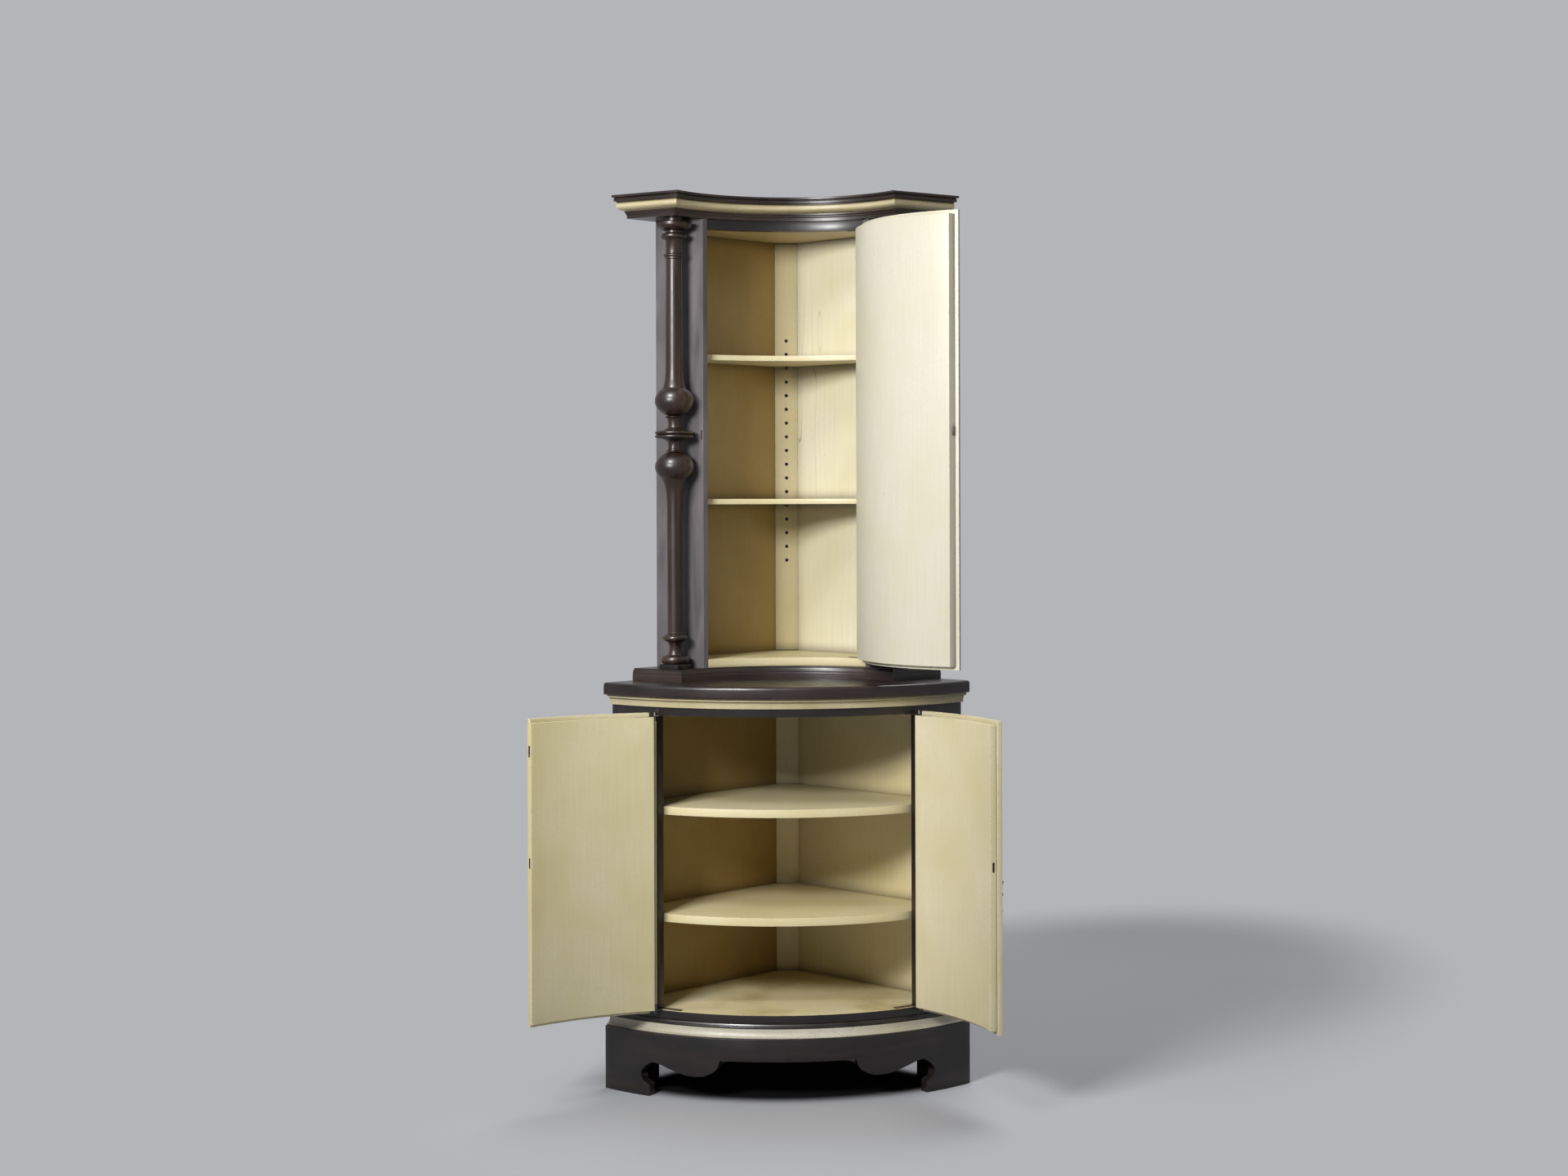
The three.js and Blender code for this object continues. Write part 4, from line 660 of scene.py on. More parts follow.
# A board of the bowed front between two angles.
def bowBoard(node, name, start, end, grainAxis, edge=1.0):
    low, high = levels(node)
    inner, outer = caseRadius - plan["stileThickness"], caseRadius
    outline = arcPoints(bow, inner, start, end) + arcPoints(bow, outer, start, end)[::-1]
    bm = uprightBoard(outline, low, high, edge, grainAxis)
    finishPiece(bm, name, wood, "case", [node])


railEnd = plan["openingAngle"] - math.degrees(fit / caseRadius)
bowBoard("base_bottom_rail", "bottomRail", -railEnd, railEnd, 0)
bowBoard("base_top_rail", "topRail", -railEnd, railEnd, 0)
bowBoard("base_left_stile", "lowerLeftStile", -45, -plan["openingAngle"], 2)
bowBoard("base_right_stile", "lowerRightStile", plan["openingAngle"], 45, 2)


# Where a circle about the room corner meets a wall board's face, as an angle.
def wallAngle(radius, gap):
    return 45 - math.degrees(math.asin(gap / radius))


lowerShelf = {"setback": 21, "back": 48.5, "edge": 1.6}
for node, name in (("base_lower_shelf", "lowerShelfBoard"),
                   ("base_upper_shelf", "higherShelfBoard")):
    radius, back = caseRadius - lowerShelf["setback"], lowerShelf["back"]
    turn, side = wallAngle(radius, wallGap), back - wallGap * math.sqrt(2)
    outline = [(-side, -back)] + arcPoints(bow, radius, -turn, turn) + [(side, -back)]
    bm = uprightBoard(outline, *levels(node), lowerShelf["edge"], 0)
    finishPiece(bm, name, paint, "case", [node])


floorBoard = {"edge": 1.2, "lipDepth": 1.5, "lipSlope": 0.75}


# The lip of the floor is stained like the rail under it.
def bowFront(face):
    c = face.calc_center_median()
    atLip = math.hypot(c.x, c.y) > caseRadius - floorBoard["lipDepth"]
    return atLip and face.normal.z < floorBoard["lipSlope"]


radius = caseRadius - plan["stileThickness"] - fit
turn = wallAngle(radius, wallGap)
outline = [(0, -wallGap * math.sqrt(2))] + arcPoints(bow, radius, -turn, -railEnd)
outline += arcPoints(bow, caseRadius, -railEnd, railEnd) + arcPoints(bow, radius, railEnd, turn)
bm = uprightBoard(outline, *levels("base_floor_board"), floorBoard["edge"], 0)
finishPiece(bm, "lowerFloorBoard", [floorPaint, wood], "case", ["base_floor_board"],
            innerFaces=bowFront)
print("lower boards made")


wallEdge = 3


# Painted inside, bare plank outside. Both walls stand at 45 degrees to the front.
def facesRoom(face):
    c = face.calc_center_median()
    return abs(c.x) + c.y > -wallEdge


# The left walls, turned from the light, take a darker, browner copy of the paint: painted shade.
for node, name, coat in (("base_left_wall_panel", "lowerLeftWall", leftWallShadePaint),
                         ("base_right_wall_panel", "lowerRightWall", paint),
                         ("upper_left_wall_panel", "upperLeftWall", leftWallShadePaint),
                         ("upper_right_wall_panel", "upperRightWall", rightWallLitPaint)):
    easedCopy(node, name, [coat, plank], "case", 0.6, innerFaces=facesRoom)
easedCopy("base_corner_strip", "lowerCornerStrip", paint, "case", 1.0)
for node, name, grainAxis in (("plinth_left_side_board", "plinthLeftSide", 0),
                              ("plinth_right_side_board", "plinthRightSide", 0),
                              ("plinth_back_foot", "plinthBackFoot", 2)):
    easedCopy(node, name, wood, "case", 1.2, grainAxis)


# The plinth's front board, with its scrolled apron between the feet

apron = {
    "height": 89, "halfWidth": 146, "footWidth": 100, "plinthStand": 23, "thickness": 22,
    "edge": 1.3,
    "scrollShares": [(0.03, 0.83), (0.08, 0.73), (0.14, 0.67), (0.22, 0.61), (0.32, 0.585),
                     (0.43, 0.59), (0.53, 0.62), (0.69, 0.7), (0.85, 0.8), (0.96, 0.84),
                     (1.04, 0.74), (1.1, 0.62), (1.12, 0.51), (1.1, 0.39), (1.06, 0.33), (1, 0.27)],
}


# A smooth curve through chosen points.
def smoothed(points, steps=4):
    made = []
    for i in range(len(points) - 1):
        p = [Vector(points[max(0, min(len(points) - 1, i + k))]) for k in (-1, 0, 1, 2)]
        for s in range(steps):
            t = s / steps
            made.append(tuple(0.5 * (2 * p[1] + (p[2] - p[0]) * t
                                     + (2 * p[0] - 5 * p[1] + 4 * p[2] - p[3]) * t * t
                                     + (3 * p[1] - p[0] - 3 * p[2] + p[3]) * t ** 3)))
    return made + [tuple(points[-1])]


def plinthOutline(high):
    radius = caseRadius + apron["plinthStand"]
    inside = radius * math.sqrt(0.5) - apron["footWidth"]
    span = inside - apron["halfWidth"]
    scroll = [(apron["halfWidth"], apron["height"])]
    scroll += [(apron["halfWidth"] + a * span, b * apron["height"])
               for a, b in apron["scrollShares"]]
    curve = smoothed(scroll[:10]) + smoothed(scroll[10:])
    right = [(0, apron["height"])] + curve + [(inside, 0), (radius * math.sqrt(0.5), 0)]
    bent = [(radius * math.asin(min(x / radius, math.sqrt(0.5))), z) for x, z in right]
    bent.append((radius * math.pi / 4, high))
    return [(-x, z) for x, z in bent[::-1]] + bent[1:]


high = levels("plinth_front_board")[1]
bm = bentBoard(plinthOutline(high), (-apron["thickness"], 0), bow,
               caseRadius + apron["plinthStand"], apron["edge"], grainAxis=0)
finishPiece(bm, "plinthApron", wood, "case", ["plinth_front_board"])
print("plinth made")


# The upper case

# A board or moulding of the upper front. Its profile is drawn as (stand, height), and it runs back
# to the room corner or by the depth `back`.
def frontedBoard(node, name, material, profile, radius, reach, back=None):
    low, high = profile[0][1], profile[-1][1]
    paths = [[(x, y, z) for x, y in frontPath(reachBy(reach, stand), radius - stand)]
             for stand, z in profile]
    inner = [(0, 0)] * len(paths[0])
    if back:
        inner = frontPath(reachBy(reach, -back), radius + back)
    bm = loft([[path[i] for path in paths] + [end + (high,), end + (low,)]
               for i, end in enumerate(inner)])
    finishPiece(bm, name, material, "case", [node])


upperBoards = {
    "baseWing": 70.7, "baseHollow": 9, "baseStep": 5, "basePlinth": 12, "topWing": 83.1,
    "topHollow": 4, "fascia": 7.5, "soffitStep": 6.9, "creamFoot": 7.6, "creamSwell": 22.8,
    "creamBack": 40, "crownReach": 43.6, "crownInset": 12,
    "crownShares": [(0.69, 0), (0.69, 0.11), (0.86, 0.13), (0.86, 0.53), (0.81, 0.55),
                    (0.81, 0.64), (1, 0.67), (1, 1)],
}
wingReach = stileReach()
baseReach = reachBy(wingReach, upperBoards["baseWing"])
topReach = reachBy(wingReach, upperBoards["topWing"])
baseHollow = hollowRadius - upperBoards["baseHollow"]
topHollow = hollowRadius - upperBoards["topHollow"]

low, high = levels("upper_base_board")
step = low + upperBoards["basePlinth"]
in1, in2 = -0.6, -upperBoards["baseStep"]
profile = [(0, low), (0, step), (in1, step + 0.6), (in1, step + 2.0)]
profile += [(in1 + (in2 - in1) * (1 - math.cos(k / 8 * math.pi / 2)),
             step + 2.0 + (high - 2.2 - step - 2.0) * math.sin(k / 8 * math.pi / 2))
            for k in range(1, 9)]
profile += [(in2, high)]
frontedBoard("upper_base_board", "upperBaseBoard", corniceWood, rounded(profile, 0.5),
             baseHollow, baseReach)

low, high = levels("cornice_soffit_board")
step, out = low + upperBoards["fascia"], upperBoards["soffitStep"]
profile = [(0, low), (0, step), (out * 0.45, step + 0.8), (out * 0.45, step + 3.8)]
profile += [(out, step + 4.8), (out, high)]
frontedBoard("cornice_soffit_board", "corniceSoffit", corniceWood,
             rounded(profile, 0.5), topHollow, topReach)

low, high = levels("cornice_cream_moulding")
foot, swell = upperBoards["creamFoot"], upperBoards["creamSwell"]
belly = quarter((foot, low + 0.8), (foot + swell, low + (high - low) * 0.5), True, 10)
profile = [(foot - 1, low)] + belly
profile += [(foot + swell, low + (high - low) * 0.86), (foot + swell * 0.93, high)]
frontedBoard("cornice_cream_moulding", "corniceCreamMoulding", mouldingPaint,
             rounded(profile, 0.8), topHollow, topReach, upperBoards["creamBack"])

low, high = levels("cornice_crown_board")
reach = upperBoards["crownReach"]
profile = [(a * reach, low + b * (high - low)) for a, b in upperBoards["crownShares"]]
profile.append((reach - upperBoards["crownInset"], high))
frontedBoard("cornice_crown_board", "corniceCrown", corniceWood,
             rounded(profile, 0.7), topHollow, topReach)
print("cornice and base board made")


# Boards that fill the case behind its hollow front.
def upperPlan(radius, stileGap, sideGap, back=0.0):
    path = frontPath(reachBy(wingReach, -plan["stileThickness"] - stileGap), radius, sideGap)
    if not back:
        return [(0, -sideGap * math.sqrt(2))] + path
    side = back - sideGap * math.sqrt(2)
    return [(-side, -back)] + path + [(side, -back)]


def upperBoard(node, name, material, outline, edge):
    finishPiece(uprightBoard(outline, *levels(node), edge, 0), name, material, "case", [node])


upperShelf = {"setback": 16, "gap": 1, "wallGap": 16, "back": 48.5, "edge": 1.2}
outline = upperPlan(hollowRadius + upperShelf["setback"], upperShelf["gap"],
                    upperShelf["wallGap"], upperShelf["back"])
for node, name in (("upper_top_shelf", "upperTopShelf"),
                   ("upper_middle_shelf", "upperMiddleShelf")):
    upperBoard(node, name, paint, outline, upperShelf["edge"])
behindStile = hollowRadius + plan["stileThickness"]
upperBoard("upper_ceiling_board", "upperCeiling", ceilingShadePaint,
           upperPlan(behindStile + fit, fit, wallGap), 0.6)

inset = hollowAngle - math.degrees(fit / hollowRadius)
wings = upperPlan(hollowRadius, fit, wallGap)[1:]
count = plan["wingSteps"]
inner = [onArc(hollow, behindStile + fit, side * inset) for side in (-1, 1)]
outline = [(0, -wallGap * math.sqrt(2))] + wings[:count] + [inner[0]]
outline += arcPoints(hollow, hollowRadius, -inset, inset) + [inner[1]] + wings[-count:]
upperBoard("upper_floor_board", "upperFloor", paint, outline, 0.8)

outline = arcPoints(hollow, hollowRadius, -inset, inset)
outline += arcPoints(hollow, behindStile, -inset, inset)[::-1]
upperBoard("upper_head_rail", "upperHeadRail", wood, outline, 0.8)
easedCopy("upper_left_stile", "upperLeftStile", stileSheenWood, "case", 1.0)
easedCopy("upper_right_stile", "upperRightStile", stileSheenWood, "case", 1.0)
print("upper boards made")


# The corner strip: a board with a row of drilled holes, and pegs in the two that carry shelves.
# One tree makes both rows, as plain rods at even steps along an upright line.

pegRow = {"count": 17, "pitch": 32, "topDrop": 227.4, "holeRadius": 3.9, "holeDepth": 10,
          "sides": 20, "pegRadius": 3.4, "pegLength": 28, "pegMiddle": 6, "shelfRows": (2, 12)}
strip = {"halfWidth": 26.7, "thickness": 12, "edge": 1.0}


def rodRowTree(material):
    tree = bpy.data.node_groups.new("rodRow", "GeometryNodeTree")
    face = tree.interface
    face.new_socket("Geometry", in_out="OUTPUT", socket_type="NodeSocketGeometry")
    sockets = {}
    for label, kind in (("Count", "NodeSocketInt"), ("Pitch", "NodeSocketFloat"),
                        ("Radius", "NodeSocketFloat"), ("Length", "NodeSocketFloat"),
                        ("Sides", "NodeSocketInt"), ("Start", "NodeSocketVector"),
                        ("Turn", "NodeSocketVector")):
        sockets[label] = face.new_socket(label, in_out="INPUT", socket_type=kind).identifier
    given = addNode(tree, "NodeGroupInput", out=None)
    drop = addNode(tree, "CombineXYZ", {"Z": reckoned(tree, "MULTIPLY", given["Pitch"], -1.0)})
    line = addNode(tree, "GeometryNodeMeshLine",
                   {"Count": given["Count"], "Start Location": given["Start"], "Offset": drop})
    rod = addNode(tree, "GeometryNodeMeshCylinder",
                  {"Vertices": given["Sides"], "Radius": given["Radius"], "Depth": given["Length"]})
    copies = addNode(tree, "GeometryNodeInstanceOnPoints",
                     {"Points": line, "Instance": rod, "Rotation": given["Turn"]})
    real = addNode(tree, "GeometryNodeRealizeInstances", {0: copies})
    addNode(tree, "NodeGroupOutput",
            {0: addNode(tree, "GeometryNodeSetMaterial", {0: real, "Material": material})})
    return tree, sockets


def rodRow(tree, sockets, values):
    carrier = bpy.data.objects.new("rodCarrier", bpy.data.meshes.new("rodCarrier"))
    bpy.context.collection.objects.link(carrier)
    modifier = carrier.modifiers.new("rods", "NODES")
    modifier.node_group = tree
    for label, value in values.items():
        modifier[sockets[label]] = value
    graph = bpy.context.evaluated_depsgraph_get()
    mesh = bpy.data.meshes.new_from_object(carrier.evaluated_get(graph))
    bpy.data.objects.remove(carrier)
    bm = bmesh.new()
    bm.from_mesh(mesh)
    return bm


rodTree, rodSockets = rodRowTree(paint)
topPeg = levels("upper_ceiling_board")[0] - pegRow["topDrop"]
stripFace, pitch = plan["stripFace"], pegRow["pitch"]
halfWidth, depth = strip["halfWidth"], strip["thickness"]
outline = [(-halfWidth, -stripFace), (halfWidth, -stripFace),
           (halfWidth - depth, -stripFace + depth), (depth - halfWidth, -stripFace + depth)]
holes = rodRow(rodTree, rodSockets, {
    "Count": pegRow["count"], "Pitch": float(pitch), "Radius": pegRow["holeRadius"],
    "Length": 2.0 * pegRow["holeDepth"], "Sides": pegRow["sides"],
    "Start": (0.0, -stripFace, topPeg), "Turn": (math.pi / 2, 0.0, 0.0)})
bm = cut(uprightBoard(outline, *levels("upper_corner_strip"), strip["edge"]), [holes])
bm.normal_update()
mapGrain(bm, 2)


def inHole(face):
    c = face.calc_center_median()
    depth = c.y + stripFace
    return abs(c.x) < pegRow["holeRadius"] and 0.05 < depth < pegRow["holeDepth"] + 1


finishPiece(bm, "upperCornerStrip", [paint, wood], "case", ["upper_corner_strip"],
            innerFaces=inHole)
firstRow, secondRow = pegRow["shelfRows"]
pegs = rodRow(rodTree, rodSockets, {
    "Count": 2, "Pitch": float(pitch * (secondRow - firstRow)), "Radius": pegRow["pegRadius"],
    "Length": float(pegRow["pegLength"]), "Sides": pegRow["sides"],
    "Start": (0.0, -stripFace - pegRow["pegMiddle"], topPeg - pitch * firstRow),
    "Turn": (math.pi / 2, 0.0, 0.0)})
mapGrain(pegs, 1)
finishPiece(pegs, "shelfPegs", plank, "case", [])
print("corner strip made")


# The columns. Rings, waists and balls follow the lower ends given as shares of the height.

turnings = {
    "sides": 96, "ball": 42.8, "disc": 42.7, "spool": 13.5, "lowShaft": 16.4, "highShaft": 18.9,
    "baseRing": 31.4, "lowNeck": 13, "lowRing": 27.8, "astragal": 22.5, "highNeck": 17.4,
    "highRing": 28.7, "cap": 39.7, "capNeck": 20.1, "flatShare": 0.8, "block": 50,
    "blockHeight": 10,
    "offset": 63, "stand": 40.5,
}


def ring(low, high, rest, swell, steps=12):
    made = []
    for i in range(steps + 1):
        turn = i / steps * math.pi
        made.append((rest + (swell - rest) * math.sin(turn),
                     low + (high - low) * (1 - math.cos(turn)) / 2))
    return made


def waist(low, high, start, middle, end, steps=14):
    made = []
    for i in range(steps + 1):
        t = 2 * i / steps - 1
        edge = start if t < 0 else end
        made.append((middle + (edge - middle) * abs(t) ** 3, low + (high - low) * i / steps))
    return made


def ball(middle, start, end, steps=26):
    made = []
    for i in range(steps + 1):
        turn = math.radians(start + (end - start) * i / steps)
        made.append((turnings["ball"] * math.cos(turn),
                     middle + turnings["flatShare"] * turnings["ball"] * math.sin(turn)))
    return made


# Each radius goes with its height, as a share of the turning's.
def columnProfile(foot, head):
    t = turnings

    def z(share):
        return foot + (head - foot) * share

    points = [(0, foot), (24, foot)]
    points += ring(z(0.0008), z(0.0184), 24, t["baseRing"])
    points += [(t["lowNeck"] + 5, z(0.0196))]
    points += waist(z(0.0204), z(0.05), t["lowNeck"] + 4, t["lowNeck"], t["lowNeck"] + 5)
    points += ring(z(0.0515), z(0.0655), 20, t["lowRing"])
    shaft = t["lowShaft"]
    points += [(shaft + 1.2, z(0.0675)), (shaft + 1.2, z(0.0705)), (shaft, z(0.072))]
    points += smoothed([(shaft, z(0.08)), (shaft, z(0.2)), (shaft + 0.5, z(0.33)),
                        (shaft + 1.8, z(0.375)), (shaft + 5.2, z(0.398)),
                        (t["ball"] * math.cos(math.radians(52)), z(0.4115))], 5)
    points += ball(z(0.442), -49, 76)
    collar = t["spool"] + 5.4
    points += [(collar, z(0.4765)), (collar, z(0.4782)), (t["spool"] + 3.4, z(0.479))]
    points += waist(z(0.4795), z(0.505), t["spool"] + 2, t["spool"], t["spool"] + 13)
    points += ring(z(0.5065), z(0.5135), t["disc"] - 3.2, t["disc"], 6)
    points += [(t["disc"] - 5, z(0.5142))]
    points += ring(z(0.515), z(0.5218), t["disc"] - 3.2, t["disc"], 6)
    points += waist(z(0.5235), z(0.551), t["spool"] + 13, t["spool"], t["spool"] + 2)
    points += ring(z(0.5515), z(0.5558), t["spool"] + 3.5, t["spool"] + 7, 6)
    points += ball(z(0.59), -76, 51)
    points += smoothed([(t["ball"] * math.cos(math.radians(54)), z(0.6195)),
                        (t["highShaft"] + 3.6, z(0.628)), (t["highShaft"] + 1.5, z(0.642)),
                        (t["highShaft"] + 0.4, z(0.665)), (t["highShaft"], z(0.72)),
                        (t["highNeck"] + 0.3, z(0.88)), (t["highNeck"], z(0.907))], 5)
    points += [(t["highNeck"] + 2.2, z(0.909)), (t["highNeck"] + 2.2, z(0.9115))]
    points += ring(z(0.913), z(0.919), t["highShaft"] + 0.5, t["astragal"], 8)
    points += [(t["highNeck"] + 0.6, z(0.9205)), (t["highNeck"] + 0.6, z(0.948))]
    points += ring(z(0.9525), z(0.965), t["highNeck"] + 4, t["highRing"], 10)
    neck = t["highNeck"]
    points += [(neck + 1, z(0.9668)), (neck + 1, z(0.9708)), (neck + 9, z(0.9735))]
    points += [(t["cap"] - 4, z(0.9778))] + ring(z(0.9785), z(0.991), t["cap"] - 3.5, t["cap"], 8)
    points += [(t["capNeck"], z(0.9916)), (t["capNeck"], head), (0, head)]
    return points


def columnPlace(side):
    across = plan["hollowHalfOpening"] + plan["stileLip"] + turnings["offset"]
    reach = reachBy(wingReach, turnings["stand"])
    return side * across, -reach - (reach - across) * math.tan(wing)


# Anything behind the stile's face is planed back to it.
def planeFlat(bm, side, face):
    normal = Vector((side * math.sin(wing), -math.cos(wing), 0))
    start = Vector((side * face, -face, 0))
    for vert in bm.verts:
        depth = (vert.co - start).dot(normal)
        if depth < 0:
            vert.co -= normal * depth


for side, node, name in ((-1, "left_column", "leftColumn"), (1, "right_column", "rightColumn")):
    low, high = levels(node)
    centre = columnPlace(side)
    bm = turning(columnProfile(low + turnings["blockHeight"], high), turnings["sides"], centre)
    planeFlat(bm, side, reachBy(wingReach, fit))
    finishPiece(bm, name + "Turning", turnedWood, "case", [node], sharp=38)
    h = turnings["block"] / 2
    c, s = math.cos(wing), side * math.sin(wing)
    outline = [(centre[0] + a * c - b * s, centre[1] + a * s + b * c)
               for a, b in ((-h, -h), (h, -h), (h, h), (-h, h))]
    bm = uprightBoard(outline, low, low + turnings["blockHeight"] - 0.05, 0.8)
    finishPiece(bm, name + "Block", wood, "case", [])
print("columns made")


# The doors. Each is drawn closed, then turned open about its pivot.

joints = {j["name"]: j for j in frame["joints"]}


def hinge(name):
    joint = joints[name]
    x, y, z = joint["pos_m"]
    low, high = joint["range_deg"]
    turn = -low * (1 if joint["axis"][2] < 0 else -1)
    return (x / mm, y / mm - cornerY), turn


leaf = {
    "out": (1, 10), "panel": (-13, 0.7), "sideLap": 6.5, "headLap": 6.5, "footLap": 5.5,
    "meetingLap": 8, "faceGap": 1, "edgeGap": 1.5, "endGap": 2.1, "notchWidth": 16,
    "notchHeight": 18, "edge": 1.2, "panelEdge": 1.5, "pocketSpan": (-10, -2.5),
    "pastSawShare": 0.02,
}


def swung(bm, pivot):
    (x, y), turn = pivot
    about = Matrix.Translation((x, y, 0)) @ Matrix.Rotation(-math.radians(turn), 4, "Z")
    bm.transform(about @ Matrix.Translation((-x, -y, 0)))
    return bm


def leafBoard(side, arc, face, hingeEnd, freeEnd, low, high, cutters=()):
    h = side * hingeEnd
    n = side * (hingeEnd - leaf["notchWidth"])
    up, down = low + leaf["notchHeight"], high - leaf["notchHeight"]
    outline = [(side * freeEnd, low), (n, low), (n, up), (h, up), (h, down), (n, down), (n, high),
               (side * freeEnd, high)]
    return bentBoard(outline, leaf["out"], arc, face, leaf["edge"], cutters,
                     second=lambda f: f.normal.y > 0.3)


def panelBoard(side, arc, face, hingeEnd, freeEnd, low, high, cutters=()):
    a, b = sorted((side * hingeEnd, side * freeEnd))
    outline = [(a, low), (b, low), (b, high), (a, high)]

    def inPocket(f):
        c = f.calc_center_median()
        within = a + fit < c.x < b - fit and low + fit < c.z < high - fit
        return within and leaf["pocketSpan"][0] < c.y < leaf["pocketSpan"][1]

    return bentBoard(outline, leaf["panel"], arc, face, leaf["panelEdge"], cutters, second=inPocket)


# The hollow door's panel is sawn square to the case's middle plane, not to the curve.
def sawnSquare(bm, radius, inner):
    edge = radius * math.sin(inner / radius)
    for vert in bm.verts:
        if abs(vert.co.x) > edge:
            excess = abs(vert.co.x) - edge
            vert.co.x = math.copysign(edge + excess * leaf["pastSawShare"], vert.co.x)
    return bm


lock = {"rise": 340, "upperRise": 495, "boltWidth": 1.9, "boltTall": 10, "deep": 32,
        "strikeTall": 10.5, "strikeDeep": 14, "keyInset": 26, "keyDrop": 14, "keyRadius": 3,
        "keyWidth": 1.2, "keyLength": 11, "keyOut": (-1, 12), "panelMiddle": -6.15}
flush = {"drop": 61, "pocketTall": 13, "pocketWidth": 3.2, "pocketDeep": 8, "plateTall": 15,
         "plateWidth": 4.4, "plateDeep": 0.6, "plateProud": 0.15, "plateEdge": 0.12,
         "slotTall": 12, "slotWidth": 2.8, "rodInset": 4, "bore": 2.6, "overrun": 4}
mid = lock["panelMiddle"]


# A plain rod, upright unless it is laid level towards the room corner.
def rodSolid(radius, length, middle, level=False):
    bm = bmesh.new()
    bmesh.ops.create_cone(bm, cap_ends=True, segments=20, radius1=radius, radius2=radius,
                          depth=length)
    if level:
        bmesh.ops.rotate(bm, verts=bm.verts, matrix=Matrix.Rotation(math.pi / 2, 3, "X"))
    bmesh.ops.translate(bm, verts=bm.verts, vec=middle)
    return bm


# A box through the middle of the panel's thickness, as tall and wide both ways as given.
def panelSlot(start, end, width, z, tall):
    return boxSolid((start, mid - width, z - tall), (end, mid + width, z + tall))


def keyCutters(along, z):
    near, far = lock["keyOut"]
    slot = boxSolid((along - lock["keyWidth"], near, z - lock["keyLength"]),
                    (along + lock["keyWidth"], far, z))
    return [rodSolid(lock["keyRadius"], far - near, (along, (near + far) / 2, z), True), slot]


openingEdge = caseRadius * math.radians(plan["openingAngle"])
lowFoot, lowHead = levels("base_floor_board")[1], levels("base_top_rail")[0]
lockZ = lowFoot + lock["rise"]
flushZ = lowHead - flush["drop"]
lowerHinges = {-1: hinge("lower_left_door_hinge"), 1: hinge("lower_right_door_hinge")}

for side, word in ((-1, "left"), (1, "right")):
    free = leaf["meetingLap"] + leaf["faceGap"] if side < 0 else -leaf["meetingLap"]
    low, high = lowFoot - leaf["footLap"], lowHead + leaf["headLap"]
    gap = leaf["edgeGap"] / 2
    key = keyCutters(gap + lock["keyInset"], lockZ - lock["keyDrop"]) if side > 0 else ()
    bm = leafBoard(side, bow, caseRadius, openingEdge + leaf["sideLap"], free, low, high, key)
    finishPiece(swung(bm, lowerHinges[side]), f"lower{word.title()}Leaf",
                [lowerDoorPaint, wood], f"lower_{word}_door", [f"lower_{word}_door_leaf"])
    low, high = lowFoot + leaf["endGap"], lowHead - leaf["endGap"]
    if side > 0:
        cutters = [panelSlot(gap - 1, gap + lock["deep"], lock["boltWidth"], lockZ,
                             lock["boltTall"])]
    else:
        top = high + flush["overrun"]
        cutters = [panelSlot(-gap - lock["strikeDeep"], 1 - gap, lock["boltWidth"], lockZ,
                             lock["strikeTall"]),
                   panelSlot(-gap - flush["pocketDeep"], 1 - gap, flush["pocketWidth"], flushZ,
                             flush["pocketTall"]),
                   rodSolid(flush["bore"], top - flushZ,
                            (-gap - flush["rodInset"], mid, (top + flushZ) / 2))]
    bm = panelBoard(side, bow, caseRadius, openingEdge - leaf["edgeGap"], gap, low, high, cutters)
    finishPiece(swung(bm, lowerHinges[side]), f"lower{word.title()}Panel",
                [leftDoorShadePaint if side < 0 else lowerDoorPaint, wood],
                f"lower_{word}_door", [f"lower_{word}_door_panel"])

# The flush bolt's face plate, painted over with the door.
sill = -leaf["edgeGap"] / 2 + flush["plateProud"]
foot, head = flushZ - flush["plateTall"], flushZ + flush["plateTall"]
outline = [(sill - flush["plateDeep"], foot), (sill, foot), (sill, head),
           (sill - flush["plateDeep"], head)]
slot = panelSlot(-flush["overrun"], 1, flush["slotWidth"], flushZ, flush["slotTall"])
bm = bentBoard(outline, (mid - flush["plateWidth"], mid + flush["plateWidth"]), bow, caseRadius,
               flush["plateEdge"], [slot])
finishPiece(swung(bm, lowerHinges[-1]), "flushBoltPlate", leftDoorShadePaint, "lower_left_door", [])

upperHinge = hinge("upper_door_hinge")
hollowEdge = hollowRadius * math.radians(hollowAngle)
highFoot, highHead = levels("upper_floor_board")[1], levels("upper_ceiling_board")[0]
keyZ = highFoot + lock["upperRise"]
lap = hollowEdge + leaf["sideLap"]
inner = hollowEdge - leaf["edgeGap"]
key = keyCutters(-inner + lock["keyInset"], keyZ - lock["keyDrop"])
bm = leafBoard(1, hollow, hollowRadius, lap, -lap, highFoot - leaf["footLap"],
               highHead + leaf["headLap"], key)
finishPiece(swung(bm, upperHinge), "upperDoorLeaf", [upperDoorPaint, wood], "upper_door",
            ["upper_door_leaf"])
slot = panelSlot(-inner - 1, -inner + lock["deep"], lock["boltWidth"], keyZ, lock["boltTall"])
bm = panelBoard(1, hollow, hollowRadius, inner, -inner, highFoot + leaf["endGap"],
                highHead - leaf["endGap"], [slot])
bm = sawnSquare(bm, hollowRadius, inner)
finishPiece(swung(bm, upperHinge), "upperDoorPanel", [upperDoorPaint, wood], "upper_door",
            ["upper_door_panel"])
print("doors made")


# Hinges, locks, bolts and the pull

